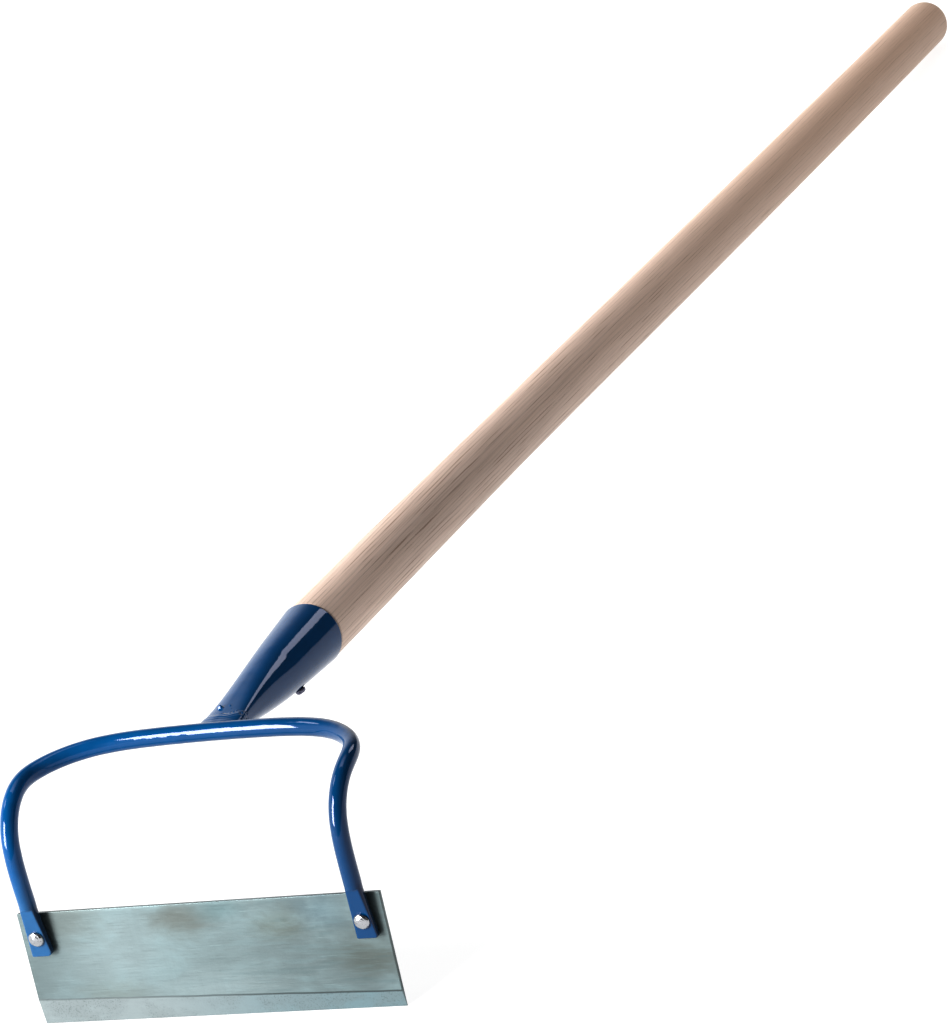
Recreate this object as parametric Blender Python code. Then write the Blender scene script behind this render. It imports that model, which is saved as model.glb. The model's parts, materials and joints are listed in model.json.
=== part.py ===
"""Garden hoe: a blade riveted to a stirrup bow, whose welded socket holds a long ash handle.

Metres, +Z up. The pieces are modelled in the head's own frame and hang on one empty:
  X  across the blade, 0 in its middle
  Y  from the blade's back face towards the handle
  Z  up the blade, 0 at its cutting edge
The empty then tilts the whole tool, so that it lies on the floor as it is laid down: on its cutting edge and on the
handle's end, with the origin under the middle of its bounding box.
"""

import math

import bmesh
import bpy
import numpy as np
from mathutils import Matrix, Vector

GAP = 0.0003  # left between pieces that touch on the real tool

# Blade: a sheared plate, ground by hand, so its bevel is taller at the left end
BLADE_LEFT = -0.0900
BLADE_RIGHT = 0.0891
BLADE_FREE_HALF = 0.0720  # the tabs leave the plate free to this distance from its middle
BLADE_HEIGHT = 0.0528
BLADE_THICKNESS = 0.0020
BEVEL_HEIGHT_LEFT = 0.0120
BEVEL_HEIGHT_RIGHT = 0.0077
CUTTING_EDGE = 0.0004  # thickness left at the edge

# Rivets through the tabs
RIVETS = {"left": (-0.0797, 0.0426), "right": (0.0807, 0.0418)}  # X and Z of their axes
RIVET_SHANK_RADIUS = 0.0022
RIVET_HEAD_RADIUS = 0.0036
RIVET_HEAD_HEIGHT = 0.0019
RIVET_TAIL_HEIGHT = 0.0012
RIVET_SIDES = 28

# Bow: an 8 mm bar, a little oval after bending
BAR_RADIUS_IN_BEND = 0.0038
BAR_RADIUS_ACROSS_BEND = 0.00415
BAR_SIDES = 28
BAR_STEP = 0.0050
# The left half of the bar's centre line, from the tab's shoulder to the middle. The right half mirrors it.
SHOULDER_Z = 0.0590
BOW_HALF = (
    (-0.0803, -0.00645, SHOULDER_Z),
    (-0.0807, -0.00625, 0.0886),
    (-0.0814, 0.00655, 0.1050),
    (-0.0780, 0.0243, 0.1100),
    (-0.0577, 0.0409, 0.1126),
    (-0.0247, 0.0462, 0.1133),
    (0.0, 0.0476, 0.1131),
)

# Tabs: the bar's ends, hammered to a wedge whose flat front slopes down towards the blade
LEDGE_Z = 0.0566  # the flat starts under a small ledge
LEDGE_HEIGHT = 0.0005
LEDGE_POINTS = 4  # of the bar's ring to each side of its front, which the ledge cuts off
TAB_END_THICKNESS = 0.0033
TABS = {
    # lower end, side nearer -X and side nearer +X there, radius of the corner under each side
    "left": (0.0336, -0.0852, -0.0746, 0.0006, 0.0030),
    "right": (0.0333, 0.0756, 0.0857, 0.0006, 0.0015),
}
# The tab's section at its end: points of the ring from the front's middle, share of the half width, share of depth
TAB_SECTION = ((0, 0.0, 0.0), (LEDGE_POINTS, 1.0, 0.0), (7, 1.0, 0.82), (8, 0.93, 1.0), (BAR_SIDES / 2, 0.0, 1.0))

# Handle line: from the socket's mouth, rising by this angle above the blade's normal
MOUTH_Y = 0.1531
MOUTH_Z = 0.1214
HANDLE_RISE = math.radians(4.53)

# Socket: a cone of rolled sheet, dressed flat at its narrow end to meet the bar
SOCKET_MOUTH_RADIUS = 0.01575
SOCKET_TAPER = 0.068  # loss of radius per length
SOCKET_SAG = 0.0255  # fall of its centre line below the handle line per length
SOCKET_LENGTH = 0.1000
SOCKET_WALL = 0.0014
NECK_START = 0.0720  # from the mouth
NECK_HALF_WIDTH = 0.0077
NECK_HALF_HEIGHT = 0.0047
NECK_RISE = 0.0006
SEAM_GAP_MOUTH = 0.0016
SEAM_GAP_NECK = 0.0006
SOCKET_SIDES = 42
SOCKET_STEPS = 21

# Weld bead: a collar round the socket's end that fills the space up to the bar
WELD_SIDES = 36
WELD_SECTIONS = (
    # distance from the mouth, growth beyond the socket's oval sideways, growth up and down
    (0.0952, 0.0002, 0.0002),
    (0.0966, 0.0003, 0.0006),
    (0.0985, 0.0004, 0.0008),
    (0.1004, 0.0003, 0.0004),
    (0.1030, -0.0001, -0.0004),
    (0.1055, -0.0007, -0.0014),
)

# Handle: turned ash with a slight natural bow, tapered where it is driven into the socket
TENON_LENGTH = 0.0620
TENON_END_CHAMFER = 0.0015
HANDLE_LENGTH_OUT = 1.0547
HANDLE_END_ROUNDING = 0.0050
HANDLE_RADII = ((0.0, 0.01530), (0.24, 0.01480), (0.52, 0.01540), (0.80, 0.01560), (1.06, 0.01565))
HANDLE_BOW = ((0.0, 0.0), (0.28, 0.0008), (0.57, 0.0), (0.86, -0.0005), (1.06, 0.0))
SHOULDER_LENGTH = 0.0016  # the driven wood bulges over the mouth within this length
HANDLE_SIDES = 36

# Screw through the socket's underside
SCREW_FROM_MOUTH = 0.0337
SCREW_ANGLE = math.radians(26.0)  # from straight down towards +X
SCREW_HEAD_RADIUS = 0.0034
SCREW_HEAD_HEIGHT = 0.0021
SCREW_SHANK_RADIUS = 0.0021
SCREW_LENGTH = 0.0180
SCREW_POINT = 0.0040
SCREW_SIDES = 28

BLUE = (0.008, 0.072, 0.255, 1.0)
STEEL = (0.33, 0.39, 0.39, 1.0)
ZINC = (0.72, 0.73, 0.76, 1.0)
ASH = (0.56, 0.43, 0.34, 1.0)


def material(name, color, metallic, roughness):
    made = bpy.data.materials.new(name)
    made.use_nodes = True
    shader = made.node_tree.nodes["Principled BSDF"]
    shader.inputs["Base Color"].default_value = color
    shader.inputs["Metallic"].default_value = metallic
    shader.inputs["Roughness"].default_value = roughness
    return made


def smoothstep(value, low, high):
    share = np.clip((value - low) / (high - low), 0.0, 1.0)
    return share * share * (3 - 2 * share)


def spline(points, steps):
    """Points on the natural cubic spline through the given ones, with this many steps between each two."""
    points = np.array(points, float)
    count = len(points)
    matrix = np.eye(count) * 4
    matrix[0, 0] = matrix[-1, -1] = 2
    inner = np.arange(count - 1)
    matrix[inner, inner + 1] = 1
    matrix[inner + 1, inner] = 1
    ahead = np.vstack([points[1:], points[-1:]])
    behind = np.vstack([points[:1], points[:-1]])
    slopes = np.linalg.solve(matrix, 3 * (ahead - behind))
    share = np.arange(steps)[:, None] / steps
    spans = [
        points[i] * (1 + 2 * share) * (1 - share) ** 2
        + points[i + 1] * share**2 * (3 - 2 * share)
        + slopes[i] * share * (1 - share) ** 2
        - slopes[i + 1] * share**2 * (1 - share)
        for i in range(count - 1)
    ]
    return np.vstack([*spans, points[-1:]])


def evenly(points, step):
    """The same line with its points about one step apart."""
    along = np.concatenate([[0.0], np.cumsum(np.linalg.norm(np.diff(points, axis=0), axis=1))])
    wanted = np.linspace(0.0, along[-1], round(along[-1] / step) + 1)
    return np.column_stack([np.interp(wanted, along, points[:, axis]) for axis in range(3)])


def oval(half_width, half_height, sides):
    """The points of an ellipse as (across, up) pairs."""
    angles = np.arange(sides) * 2 * math.pi / sides
    return np.column_stack([half_width * np.cos(angles), half_height * np.sin(angles)])


def finish_mesh(name, bm, parent, surface, smooth):
    bmesh.ops.recalc_face_normals(bm, faces=bm.faces)
    mesh = bpy.data.meshes.new(name)
    bm.to_mesh(mesh)
    bm.free()
    mesh.materials.append(surface)
    if smooth:
        mesh.shade_smooth()
        mesh.set_sharp_from_angle(angle=math.radians(35))
    made = bpy.data.objects.new(name, mesh)
    bpy.context.collection.objects.link(made)
    made.parent = parent
    return made


def loft(name, rings, parent, surface, smooth=True):
    """A closed solid through rings of equally many points, with a face over each end."""
    bm = bmesh.new()
    rows = [[bm.verts.new(point) for point in ring] for ring in rings]
    for row, following in zip(rows, rows[1:]):
        for i in range(len(row)):
            j = (i + 1) % len(row)
            bm.faces.new((row[i], row[j], following[j], following[i]))
    bm.faces.new(rows[0])
    bm.faces.new(rows[-1])
    return finish_mesh(name, bm, parent, surface, smooth)


def turned_rings(profile, place, sides, lean=0.0):
    """Rings round the place's local Z from (height, radius) pairs. A lean raises each by this much per local Y."""
    return [
        [place @ Vector((x, y, height + lean * y)) for x, y in oval(radius, radius, sides)]
        for height, radius in profile
    ]


def turned(name, profile, place, sides, parent, surface):
    return loft(name, turned_rings(profile, place, sides), parent, surface)


def cutter(name, profile, place, sides, parent, surface):
    made = turned(name, profile, place, sides, parent, surface)
    made.hide_render = True
    made.display_type = "WIRE"
    return made


def cut(target, tool):
    boolean = target.modifiers.new(f"without {tool.name}", "BOOLEAN")
    boolean.operation = "DIFFERENCE"
    boolean.object = tool


def guide(made):
    made.hide_render = True
    made.display_type = "WIRE"
    return made


def handle_frame():
    """The handle line's mouth point, direction and upward normal."""
    along = np.array([0.0, math.cos(HANDLE_RISE), math.sin(HANDLE_RISE)])
    up = np.array([0.0, -math.sin(HANDLE_RISE), math.cos(HANDLE_RISE)])
    return np.array([0.0, MOUTH_Y, MOUTH_Z]), along, up


def on_handle(distance, rise, across_up):
    """World points of a ring given as (across, up) pairs, at a distance from the mouth and raised off the line."""
    mouth, along, up = handle_frame()
    centre = mouth + distance * along + rise * up
    return centre + across_up[:, :1] * np.array([1.0, 0.0, 0.0]) + across_up[:, 1:] * up


def socket_section(depth):
    """Half width, half height and rise of the socket's outer oval, this deep from the mouth."""
    radius = SOCKET_MOUTH_RADIUS - SOCKET_TAPER * depth
    dressed = smoothstep(depth, NECK_START, SOCKET_LENGTH)
    half_width = radius + (NECK_HALF_WIDTH - radius) * dressed
    half_height = radius + (NECK_HALF_HEIGHT - radius) * dressed
    rise = -SOCKET_SAG * depth + (NECK_RISE + SOCKET_SAG * depth) * dressed
    return half_width, half_height, rise


def blade_section(x):
    """The plate's outline through its thickness, at one place along its width."""
    bevel_height = np.interp(x, (BLADE_LEFT, BLADE_RIGHT), (BEVEL_HEIGHT_LEFT, BEVEL_HEIGHT_RIGHT))
    outline = (
        (0.0, 0.0),
        (0.0, BLADE_HEIGHT),
        (-BLADE_THICKNESS, BLADE_HEIGHT),
        (-BLADE_THICKNESS, bevel_height),
        (-CUTTING_EDGE, 0.0),
    )
    return [(x, y, z) for y, z in outline]


def make_blade(parent, surface):
    sections = [blade_section(x) for x in (BLADE_LEFT, -BLADE_FREE_HALF, BLADE_FREE_HALF, BLADE_RIGHT)]
    return loft("blade", sections, parent, surface, smooth=False)


def bar_frames(centres):
    """Two normals at each point of the bar, carried along it without twist from the left tab."""
    tangents = np.gradient(centres, axis=0)
    tangents /= np.linalg.norm(tangents, axis=1)[:, None]
    in_bend = [np.array([1.0, 0.0, 0.0])]
    for tangent in tangents[1:]:
        carried = in_bend[-1] - tangent * (in_bend[-1] @ tangent)
        in_bend.append(carried / np.linalg.norm(carried))
    in_bend = np.array(in_bend)
    return in_bend, np.cross(tangents, in_bend)


def tab_flat(end):
    """Where the tab's sloping front lies under the ledge, and how far it falls back per height."""
    end_z = TABS[end][0]
    start_y = BOW_HALF[0][1] - BAR_RADIUS_ACROSS_BEND * math.cos(LEDGE_POINTS * 2 * math.pi / BAR_SIDES)
    end_y = -BLADE_THICKNESS - GAP - TAB_END_THICKNESS
    return start_y, (end_y - start_y) / (LEDGE_Z - end_z)


def tab_ring(end, z, first_axis):
    """The tab's outline at a height: the bar's oval, cut flat in front, goes over to the end's rectangle."""
    end_z, low_x, high_x, low_corner, high_corner = TABS[end]
    start_y, fall = tab_flat(end)
    x, y = oval(BAR_RADIUS_IN_BEND, BAR_RADIUS_ACROSS_BEND, BAR_SIDES).T
    bar_x = first_axis * (x + BOW_HALF[0][0])
    bar_y = np.maximum(y + BOW_HALF[0][1], start_y)

    from_front = np.abs(np.arange(BAR_SIDES) - BAR_SIDES * 3 / 4)
    from_front = np.minimum(from_front, BAR_SIDES - from_front)
    points, width_shares, depth_shares = zip(*TAB_SECTION)
    middle = (low_x + high_x) / 2
    low_reach = middle - low_x - corner_inset(z - end_z, low_corner)
    high_reach = high_x - middle - corner_inset(z - end_z, high_corner)
    reach = np.where(first_axis * x < 0, -low_reach, high_reach)
    tab_x = middle + reach * np.interp(from_front, points, width_shares)
    end_y = start_y + fall * (LEDGE_Z - end_z)
    tab_y = end_y + TAB_END_THICKNESS * np.interp(from_front, points, depth_shares)

    share = (LEDGE_Z - z) / (LEDGE_Z - end_z)
    return np.column_stack([
        bar_x + (tab_x - bar_x) * share,
        bar_y + (tab_y - bar_y) * share,
        np.full(BAR_SIDES, z),
    ])


def corner_inset(height, radius):
    """How far a rounded corner stands in from the side, this high above the lower end."""
    left = max(radius - height, 0.0)
    return radius - math.sqrt(radius**2 - left**2)


def tab_rings(end):
    """Rings of one tab from its free end up to the ledge, and the whole bar's ring over the ledge."""
    first_axis = 1 if end == "left" else -1
    end_z = TABS[end][0]
    largest_corner = max(TABS[end][3:])
    heights = np.concatenate([
        end_z + largest_corner * (1 - np.cos(np.linspace(0, math.pi / 2, 6))),
        np.linspace(end_z + largest_corner, LEDGE_Z, 6)[1:],
    ])
    rings = [tab_ring(end, z, first_axis) for z in heights]
    x, y = oval(BAR_RADIUS_IN_BEND, BAR_RADIUS_ACROSS_BEND, BAR_SIDES).T
    over = np.full(BAR_SIDES, LEDGE_Z + LEDGE_HEIGHT)
    return [*rings, np.column_stack([first_axis * (x + BOW_HALF[0][0]), y + BOW_HALF[0][1], over])]


def bow_centres():
    left = np.array(BOW_HALF)
    right = left[-2::-1] * [-1, 1, 1]
    return evenly(spline(np.vstack([left, right]), 24), BAR_STEP)


def bar_rings(extra):
    """Rings of the bar between the shoulders, grown by an extra radius."""
    centres = bow_centres()
    in_bend, across_bend = bar_frames(centres)
    outline = oval(BAR_RADIUS_IN_BEND + extra, BAR_RADIUS_ACROSS_BEND + extra, BAR_SIDES)
    return [
        centre + outline[:, :1] * first + outline[:, 1:] * second
        for centre, first, second in zip(centres, in_bend, across_bend)
    ]


def make_bow(parent, surface):
    return loft("bow", [*tab_rings("left"), *bar_rings(0.0), *tab_rings("right")[::-1]], parent, surface)


def rivet_place(end):
    """Frame on the blade's back face: local Z points out of the blade's front, local Y up."""
    x, z = RIVETS[end]
    return Matrix.Translation((x, 0.0, z)) @ Matrix.Rotation(math.pi / 2, 4, "X")


def make_rivet(end, parent, surface):
    """Tail behind the blade, head hammered down onto the tab's sloping front."""
    start_y, fall = tab_flat(end)
    seat = -start_y - fall * (LEDGE_Z - RIVETS[end][1]) + GAP
    tail = [
        (-GAP - RIVET_TAIL_HEIGHT * height, RIVET_HEAD_RADIUS * radius)
        for height, radius in ((1.0, 0.55), (0.92, 0.78), (0.60, 0.97), (0.0, 1.0))
    ]
    dome = [
        (seat + RIVET_HEAD_HEIGHT * height, RIVET_HEAD_RADIUS * radius)
        for height, radius in ((0.0, 0.97), (0.16, 1.0), (0.42, 0.96), (0.68, 0.83), (0.87, 0.62), (0.97, 0.34))
    ]
    straight = [*tail, (-GAP, RIVET_SHANK_RADIUS)]
    leaning = [(seat, RIVET_SHANK_RADIUS), *dome]
    place = rivet_place(end)
    rings = [
        *turned_rings(straight, place, RIVET_SIDES),
        *turned_rings(leaning, place, RIVET_SIDES, lean=fall),
    ]
    return loft(f"rivet_{end}", rings, parent, surface)


def rivet_hole(end, parent, surface):
    reach = 0.012
    profile = [(-reach, RIVET_SHANK_RADIUS + GAP), (reach, RIVET_SHANK_RADIUS + GAP)]
    return cutter(f"rivet_hole_{end}", profile, rivet_place(end), RIVET_SIDES, parent, surface)


def socket_outline(depth, wall_in, opening, reverse=False):
    """One side of the open oval, from one lip of the seam underneath round to the other."""
    half_width, half_height, rise = socket_section(depth)
    half_width -= wall_in
    half_height -= wall_in
    lip = math.asin(min(opening / 2 / half_width, 1.0))
    angles = np.linspace(-math.pi / 2 + lip, 1.5 * math.pi - lip, SOCKET_SIDES)
    if reverse:
        angles = angles[::-1]
    oval = np.column_stack([half_width * np.cos(angles), half_height * np.sin(angles)])
    return on_handle(-depth, rise, oval)


def make_socket(parent, surface):
    rings = []
    for depth in np.linspace(0.0, SOCKET_LENGTH, SOCKET_STEPS):
        opening = SEAM_GAP_MOUTH + (SEAM_GAP_NECK - SEAM_GAP_MOUTH) * depth / SOCKET_LENGTH
        outer = socket_outline(depth, 0.0, opening)
        inner = socket_outline(depth, SOCKET_WALL, opening, reverse=True)
        rings.append(np.vstack([outer, inner]))
    return loft("socket", rings, parent, surface)


def socket_plug(parent, surface):
    """The socket's outer oval round its end, grown by the gap, to clear the weld bead."""
    rings = []
    for depth in np.linspace(0.088, SOCKET_LENGTH, 7):
        half_width, half_height, rise = socket_section(depth)
        rings.append(on_handle(-depth, rise, oval(half_width + GAP, half_height + GAP, WELD_SIDES)))
    rings.append(rings[-1] - GAP * handle_frame()[1])
    return guide(loft("neck_clearance", rings, parent, surface))


def make_weld_bead(parent, surface):
    rings = []
    for depth, sideways, up_and_down in WELD_SECTIONS:
        half_width, half_height, rise = socket_section(min(depth, SOCKET_LENGTH))
        section = oval(half_width + GAP + sideways, half_height + GAP + up_and_down, WELD_SIDES)
        rings.append(on_handle(-depth, rise, section))
    bead = loft("weld_bead", rings, parent, surface)
    cut(bead, socket_plug(parent, surface))
    cut(bead, guide(loft("bar_clearance", bar_rings(GAP), parent, surface)))
    return bead


def handle_section(distance):
    """Radius and rise of the handle at a distance from the mouth, which is negative inside the socket."""
    if distance < 0:
        depth = -distance
        radius = SOCKET_MOUTH_RADIUS - SOCKET_TAPER * depth - SOCKET_WALL - GAP
        from_end = TENON_LENGTH - depth
        if from_end < TENON_END_CHAMFER:
            radius -= TENON_END_CHAMFER - from_end
        return radius, -SOCKET_SAG * depth
    radius = np.interp(distance, *zip(*HANDLE_RADII))
    mouth_radius = SOCKET_MOUTH_RADIUS - SOCKET_WALL - GAP
    radius = mouth_radius + (radius - mouth_radius) * smoothstep(distance, GAP, SHOULDER_LENGTH)
    from_end = HANDLE_LENGTH_OUT - distance
    if from_end < HANDLE_END_ROUNDING:
        radius -= HANDLE_END_ROUNDING - math.sqrt(HANDLE_END_ROUNDING**2 - (HANDLE_END_ROUNDING - from_end) ** 2)
    return radius, np.interp(distance, bow_stations(), bow_rises())


def bow_stations():
    return np.interp(np.arange(len(HANDLE_BOW) * 8), np.arange(len(HANDLE_BOW)) * 8, [d for d, _ in HANDLE_BOW])


def bow_rises():
    smooth = spline([(d, r, 0.0) for d, r in HANDLE_BOW], 8)
    return np.interp(bow_stations(), smooth[:, 0], smooth[:, 1])


def handle_stations():
    rounding = HANDLE_LENGTH_OUT - HANDLE_END_ROUNDING * (1 - np.sin(np.linspace(0, math.pi / 2, 7)))
    return np.concatenate([
        [-TENON_LENGTH, -TENON_LENGTH + TENON_END_CHAMFER, -0.040, -0.020, 0.0, GAP],
        np.linspace(GAP, SHOULDER_LENGTH, 5)[1:],
        np.linspace(0.010, HANDLE_LENGTH_OUT - 0.020, 30),
        rounding,
    ])


def handle_rings():
    rings = []
    for distance in handle_stations():
        radius, rise = handle_section(distance)
        rings.append(on_handle(distance, rise, oval(radius, radius, HANDLE_SIDES)))
    return rings


def screw_place():
    """Frame on the socket's underside: local Z points out along the screw's head."""
    half_width, _, rise = socket_section(SCREW_FROM_MOUTH)
    mouth, along, up = handle_frame()
    centre = mouth - SCREW_FROM_MOUTH * along + rise * up
    radial = math.sin(SCREW_ANGLE) * np.array([1.0, 0.0, 0.0]) - math.cos(SCREW_ANGLE) * up
    outward = radial - SOCKET_TAPER * along
    outward /= np.linalg.norm(outward)
    seat = centre + half_width * radial
    turn = Vector(outward).to_track_quat("Z", "Y").to_matrix().to_4x4()
    return Matrix.Translation(seat) @ turn


def make_screw(parent, surface):
    head = [
        (GAP + SCREW_HEAD_HEIGHT * height, SCREW_HEAD_RADIUS * radius)
        for height, radius in ((0.0, 1.0), (0.38, 0.99), (0.70, 0.88), (0.92, 0.64), (1.0, 0.30))
    ]
    shank = [
        (-SCREW_LENGTH, 0.0004),
        (-SCREW_LENGTH + SCREW_POINT, SCREW_SHANK_RADIUS),
        (GAP, SCREW_SHANK_RADIUS),
    ]
    return turned("handle_screw", [*shank, *head], screw_place(), SCREW_SIDES, parent, surface)


def screw_hole(parent, surface):
    radius = SCREW_SHANK_RADIUS + GAP
    profile = [
        (-SCREW_LENGTH - GAP, 0.0007),
        (-SCREW_LENGTH + SCREW_POINT - GAP, radius),
        (0.004, radius),
    ]
    return cutter("screw_hole", profile, screw_place(), SCREW_SIDES, parent, surface)


def resting_tilt():
    """The angle under the handle's lowest line, seen from the cutting edge."""
    points = np.vstack(handle_rings())
    return min(math.atan2(z, y) for _, y, z in points)


def lay_down(head, pieces):
    """Tilts the tool onto its edge and handle end, with the origin under its bounding box's middle."""
    tilt = Matrix.Rotation(-resting_tilt(), 4, "X")
    points = np.array([tilt @ vertex.co for piece in pieces for vertex in piece.data.vertices])
    middle = (points.min(axis=0) + points.max(axis=0)) / 2
    head.matrix_world = Matrix.Translation((-middle[0], -middle[1], -points[:, 2].min())) @ tilt


def main():
    for old in list(bpy.data.objects):
        bpy.data.objects.remove(old)
    blue = material("blue_enamel", BLUE, 0.0, 0.12)
    steel = material("blade_steel", STEEL, 0.9, 0.38)
    zinc = material("zinc_rivet", ZINC, 1.0, 0.28)
    ash = material("ash_wood", ASH, 0.0, 0.55)

    head = bpy.data.objects.new("head_frame", None)
    bpy.context.collection.objects.link(head)

    blade = make_blade(head, steel)
    bow = make_bow(head, blue)
    for end in RIVETS:
        hole = rivet_hole(end, head, steel)
        cut(blade, hole)
        cut(bow, hole)
    rivets = [make_rivet(end, head, zinc) for end in RIVETS]
    socket = make_socket(head, blue)
    weld = make_weld_bead(head, blue)
    handle = loft("handle", handle_rings(), head, ash)
    screw = make_screw(head, zinc)
    hole = screw_hole(head, zinc)
    cut(socket, hole)
    cut(handle, hole)
    lay_down(head, [blade, bow, *rivets, socket, weld, handle, screw])


main()
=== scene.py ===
"""Garden hoe: the finished surfaces, studio and camera, laid out as an add-on and run as a script.

The pieces are worked out in the head's own frame, in metres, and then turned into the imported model's frame:
  X  across the blade, 0 under the handle's line
  Y  from the blade's back face towards the handle
  Z  up the blade, 0 at its cutting edge
"""

import json
import math

import bpy
import numpy as np
from bpy.props import FloatProperty, FloatVectorProperty, PointerProperty
from mathutils import Matrix, Vector


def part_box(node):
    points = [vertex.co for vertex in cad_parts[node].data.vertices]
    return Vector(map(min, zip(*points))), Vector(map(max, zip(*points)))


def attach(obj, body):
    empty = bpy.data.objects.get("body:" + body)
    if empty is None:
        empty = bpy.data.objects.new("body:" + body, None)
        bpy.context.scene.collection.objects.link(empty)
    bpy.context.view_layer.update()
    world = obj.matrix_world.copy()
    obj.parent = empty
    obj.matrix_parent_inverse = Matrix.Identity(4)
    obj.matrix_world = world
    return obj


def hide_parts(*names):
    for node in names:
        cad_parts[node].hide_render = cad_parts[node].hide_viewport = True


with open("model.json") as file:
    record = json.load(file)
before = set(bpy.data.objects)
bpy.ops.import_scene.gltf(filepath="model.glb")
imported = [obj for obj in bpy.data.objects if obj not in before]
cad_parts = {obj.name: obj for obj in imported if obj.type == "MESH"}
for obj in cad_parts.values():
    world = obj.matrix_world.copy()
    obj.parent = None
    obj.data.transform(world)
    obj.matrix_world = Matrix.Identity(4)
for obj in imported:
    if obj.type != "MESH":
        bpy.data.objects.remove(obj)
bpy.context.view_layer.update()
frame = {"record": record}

bl_info = {
    "name": "Garden hoe",
    "version": (1, 0, 0),
    "blender": (4, 5, 0),
    "location": "3D View > Sidebar > Garden hoe",
    "description": "Makes the finished pieces of a garden hoe and the studio that it is seen in",
    "category": "Object",
}

GAP = 0.0003  # free space between pieces that touch in the real tool

# The head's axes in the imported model's frame, one to a row, and its origin on the cutting edge
BACK_MOUNT = next(mount for mount in frame["record"]["mounts"] if mount["name"] == "blade_back")
ACROSS = Vector((1.0, 0.0, 0.0))
BACKWARDS = Vector(BACK_MOUNT["axis"]).normalized()
UPWARDS = ACROSS.cross(BACKWARDS)
HEAD_AXES = np.array([ACROSS, BACKWARDS, UPWARDS])


def head_origin():
    """The blade's back plane followed down to the floor, under the middle of the handle."""
    on_plane = Vector(BACK_MOUNT["pos_m"])
    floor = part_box("blade")[0].z
    low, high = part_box("handle")
    origin = on_plane - UPWARDS * ((on_plane.z - floor) / UPWARDS.z)
    origin.x = (low.x + high.x) / 2
    return np.array(origin)


HEAD_ORIGIN = head_origin()


def in_model_frame(points):
    """Head frame to model frame: the origin plus each coordinate times its axis."""
    return HEAD_ORIGIN + points @ HEAD_AXES


def length(name, default, description):
    return FloatProperty(name=name, description=description, default=default, unit="LENGTH", precision=5)


def rotation(name, default, description):
    return FloatProperty(name=name, description=description, default=default, unit="ROTATION")


def number(name, default, description):
    return FloatProperty(name=name, description=description, default=default)


def colour(name, default, description):
    return FloatVectorProperty(
        name=name, description=description, default=default, size=3, subtype="COLOR", min=0.0, max=1.0
    )


def watts(name, default, description):
    return FloatProperty(name=name, description=description, default=default, unit="POWER")


class BladeSizes(bpy.types.PropertyGroup):
    left: length("Left end", -0.0900, "Place of the plate's left end from the handle's line")
    right: length("Right end", 0.0891, "Place of the plate's right end from the handle's line")
    height: length("Height", 0.0528, "Height of the plate")
    thickness: length("Thickness", 0.0020, "Thickness of the plate")
    bevel_left: length("Bevel at left", 0.0120, "Height of the ground bevel at the left end")
    bevel_right: length("Bevel at right", 0.0077, "Height of the ground bevel at the right end")
    edge: length("Cutting edge", 0.0004, "Thickness left at the cutting edge")
    grinding_waves: length("Grinding waves", 0.00005, "How far the hand-ground line of the bevel wanders")
    steel: colour("Steel", (0.156, 0.200, 0.205), "Colour of the passivated steel")


class BowSizes(bpy.types.PropertyGroup):
    bar_in_bend: length("Half width", 0.0038, "Half the bar's width towards the inside of its bends")
    bar_across_bend: length("Half depth", 0.00415, "Half the bar's width across its bends")
    ring_step: length("Ring step", 0.0007, "Distance between two rings of the surface")
    ledge_z: length("Ledge", 0.0566, "Height at which the flat of the tabs starts")
    ledge_height: length("Ledge height", 0.0005, "Height over which the bar steps down to the flat")
    tab_thickness: length("Tab thickness", 0.0033, "Thickness of the tabs at their lower end")
    hammering: length("Hammering", 0.00004, "Height of the dents that hammering left")
    enamel: colour("Enamel", (0.0007, 0.047, 0.135), "Colour of the enamel")


class SocketSizes(bpy.types.PropertyGroup):
    mouth_radius: length("Mouth radius", 0.01575, "Outer radius of the socket at its mouth")
    length: length("Length", 0.1000, "Length of the socket")
    wall: length("Wall", 0.0014, "Thickness of the rolled sheet")
    neck_start: length("Neck start", 0.0258, "Depth at which the cone starts to be dressed flat")
    neck_half_width: length("Neck half width", 0.01147, "Half the width of the narrow end")
    neck_half_height: length("Neck half height", 0.00374, "Half the height of the narrow end")
    neck_rise: length("Neck rise", -0.0008, "Rise of the narrow end's middle over the handle's line")
    widening_left: number("Widening left", 1.5, "Power at which the left half's width changes")
    widening_right: number("Widening right", 2.8, "Power at which the right half's width changes")
    flattening: number("Flattening", 2.5, "Power at which the height changes")
    square_start: length("Square start", 0.0422, "Depth at which the upper right starts to be square")
    squareness: number("Squareness", 3.0, "How square the narrow end is, 0 for an oval")
    seam_at_mouth: length("Seam at mouth", 0.0016, "Width of the open seam at the mouth")
    seam_at_neck: length("Seam at neck", 0.0006, "Width of the open seam at the narrow end")
    taper: number("Taper", 0.068, "Loss of radius per length")
    sag: number("Sag", 0.0255, "Fall of the centre line per length")


class HandleSizes(bpy.types.PropertyGroup):
    mouth_y: length("Mouth back", 0.1531, "Distance of the socket's mouth behind the blade")
    mouth_z: length("Mouth up", 0.1214, "Height of the socket's mouth over the cutting edge")
    rise: rotation("Rise", 0.0790634, "Angle of the handle over the blade's normal")
    length_out: length("Length outside", 1.05467, "Length of the handle outside the socket")
    tenon: length("Length inside", 0.0620, "Length of the handle inside the socket")
    end_rounding: length("End rounding", 0.0120, "Radius of the rounding at the far end")
    wood: colour("Wood", (0.62, 0.473, 0.393), "Colour of the ash")


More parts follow.
